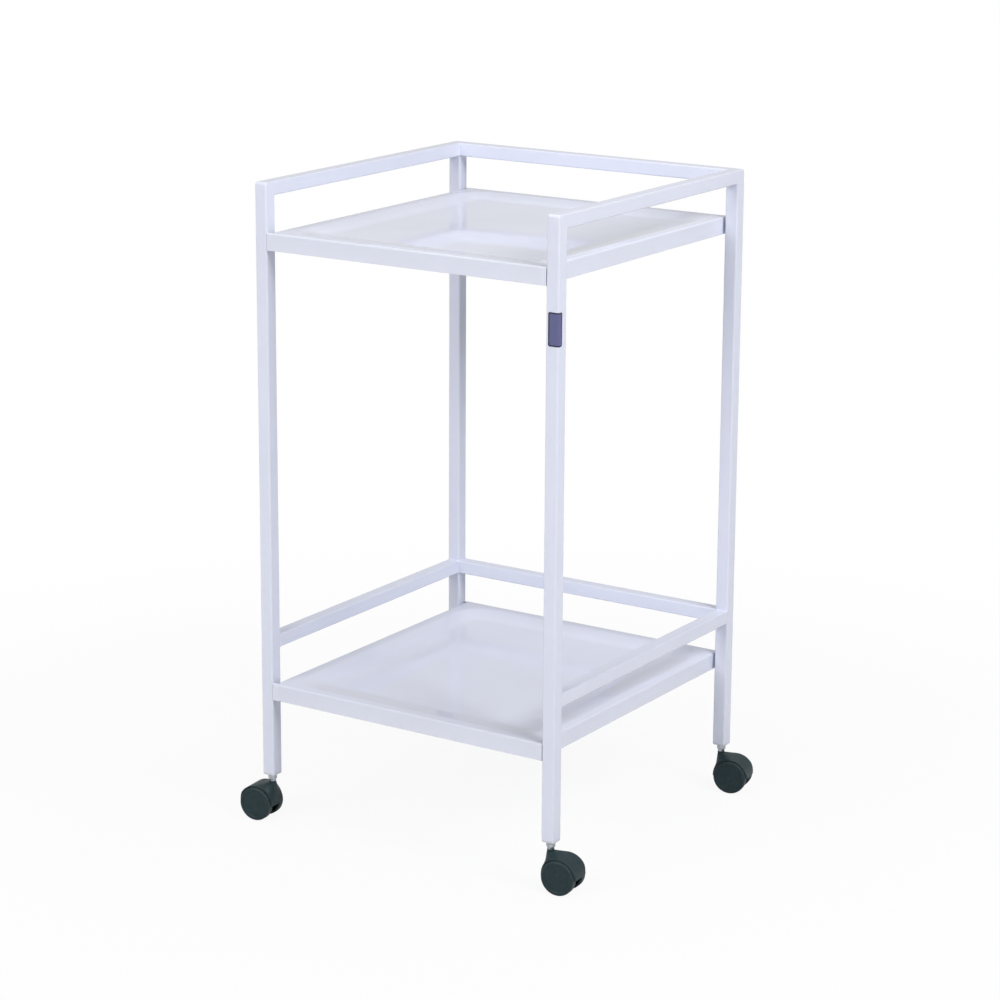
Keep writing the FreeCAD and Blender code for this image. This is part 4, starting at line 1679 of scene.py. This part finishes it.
@dataclass(frozen=True)
class Studio:
    """White sweep with a soft shadow, a pale room and large lamps.

    Attributes:
        floor_radius: In metres.
        floor_albedo: How much light the paper gives back.
        paper_share: How much of the paper near the object is plain white.
        paper_ends: From where on it turns wholly white, and where it is so, in metres.
        room: Strength of the light from all round.
        gloss_share: How much of the white room shows in a gloss.
        lamps: The lamps.
    """

    floor_radius: float = 30.0
    floor_albedo: float = 0.80
    paper_share: float = 0.92
    paper_ends: tuple[float, float] = (0.45, 1.6)
    room: float = 0.18
    gloss_share: float = 0.52
    lamps: tuple[Softbox, ...] = (
        Softbox("right", (2.4, -0.5, 2.5), (0.0, 0.0, 0.5), 1.3, 62.0),
        Softbox("front", (-0.6, -3.4, 2.4), (0.0, 0.0, 0.5), 2.2, 78.0),
        Softbox("overhead", (-0.4, 0.5, 3.2), (0.0, 0.0, 0.6), 2.0, 20.0),
    )

    def _seen(self, g: Graph) -> Value:
        """How white the room and the floor look to a ray.

        Args:
            g: The tree that asks.

        Returns:
            1 for what the camera sees straight, a smaller share in a gloss, 0 for what lights the object.
        """
        path = g.node("ShaderNodeLightPath")
        straight, gloss = (g.value(path.outputs[name]) for name in ("Is Camera Ray", "Is Glossy Ray"))
        return straight.at_least(self.gloss_share * gloss)

    def floor(self) -> None:
        """Wide floor: lit paper near the object, where its shadow falls, and plain white further out."""
        rings = np.concatenate([np.linspace(0.05, 2.0, 12), np.geomspace(2.5, self.floor_radius, 12)]) / MM
        profile = np.stack([rings[::-1], np.zeros(len(rings))], 1)
        made = Piece("floor", [turned(profile, 64, pole=(False, True))]).make()
        g = Graph(bpy.data.materials.new("sweep_paper"))
        place = g.coordinates()
        grain = g.noise(place, 300.0, 3.0)
        lit = g.node("ShaderNodeBsdfDiffuse", inputs={
            "Color": g.blend(grain, rgb(*[self.floor_albedo] * 3), rgb(*[self.floor_albedo * 0.99] * 3))})
        white = g.node("ShaderNodeEmission", inputs={"Color": rgb(1, 1, 1), "Strength": 1.0})
        distance = g.node("ShaderNodeVectorMath", {"operation": "LENGTH"}, {0: place}).outputs["Value"]
        far = g.between(g.value(distance), *self.paper_ends)
        share = self._seen(g) * (self.paper_share + (1 - self.paper_share) * far)
        mixed = g.node("ShaderNodeMixShader", inputs={0: share, 1: lit.outputs[0], 2: white.outputs[0]})
        made.data.materials.append(g.finish(mixed.outputs[0]))

    def world(self) -> None:
        """Room light for the object, white for what the camera sees."""
        world = bpy.data.worlds.new("room")
        bpy.context.scene.world = world
        g = Graph(world)
        light = g.node("ShaderNodeBackground", inputs={"Color": rgb(1, 1, 1), "Strength": self.room})
        white = g.node("ShaderNodeBackground", inputs={"Color": rgb(1, 1, 1), "Strength": 1.0})
        mixed = g.node("ShaderNodeMixShader", inputs={
            0: self._seen(g), 1: light.outputs[0], 2: white.outputs[0]})
        g.finish(mixed.outputs[0])

    def set_up(self) -> None:
        """Adds the floor, the room and the lamps."""
        bpy.context.scene.view_settings.view_transform = "Standard"
        self.floor()
        self.world()
        for lamp in self.lamps:
            lamp.set_up()


@dataclass(frozen=True)
class ProductCamera:
    """Camera on the right of the front, a little above the guard rail.

    Attributes:
        place: Where it stands, in millimetres.
        azimuth: From straight in front towards the right, in degrees.
        elevation: How far it looks down, in degrees.
        roll: Turn about its own axis, in degrees.
        focal: Focal length in pixels of a picture 1000 wide.
        shift_up: How far the picture's middle is above the lens axis, as a share of its width.
    """

    place: Triple = (2278.4, -3493.6, 1574.7)
    azimuth: float = 33.156
    elevation: float = 13.928
    roll: float = 0.334
    focal: float = 2977.5
    shift_up: float = -0.05

    def set_up(self) -> None:
        """Adds the camera and makes it the scene's."""
        data = bpy.data.cameras.new("product_camera")
        data.sensor_width = 36.0
        data.lens = self.focal * 36.0 / 1000.0
        data.shift_y = self.shift_up
        data.clip_end = 100.0
        made = bpy.data.objects.new("product_camera", data)
        bpy.context.scene.collection.objects.link(made)
        a, e = math.radians(self.azimuth), math.radians(self.elevation)
        back = Vector((math.sin(a) * math.cos(e), -math.cos(a) * math.cos(e), math.sin(e)))
        look = (-back).to_track_quat("-Z", "Y").to_matrix().to_4x4()
        roll = Matrix.Rotation(math.radians(self.roll), 4, "Z")
        made.matrix_world = Matrix.Translation(Vector(self.place) * MM) @ look @ roll
        bpy.context.scene.camera = made


@dataclass(frozen=True)
class Trolley:
    """The whole object, from its sub-assemblies."""

    tube_frame: TubeFrame = TubeFrame()
    trays: tuple[PressedTray, ...] = (
        PressedTray("upper_tray", 870.0), PressedTray("lower_tray", 212.0, phase=2.4))
    film: LegFilm = LegFilm()
    turns: Mapping[str, float] = field(default_factory=lambda: {
        "front_left": 185.0, "front_right": 5.0, "back_left": 8.0, "back_right": 11.0})

    def dress(self) -> None:
        """Builds every sub-assembly."""
        self.tube_frame.dress()
        for tray in self.trays:
            tray.dress()
        self.film.dress()
        for place, turn in self.turns.items():
            x = self.tube_frame.leg_x * (1 if place.endswith("right") else -1)
            y = self.tube_frame.leg_y * (1 if place.startswith("back") else -1)
            LegFoot(place, x, y).dress()
            Caster(place, x, y, turn).dress()


def main() -> None:
    """Dresses the trolley, and sets up the studio and the camera."""
    logging.basicConfig(level=logging.INFO, format="%(message)s")
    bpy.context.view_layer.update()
    Trolley().dress()
    Studio().set_up()
    ProductCamera().set_up()


if __name__ == "__main__":
    main()
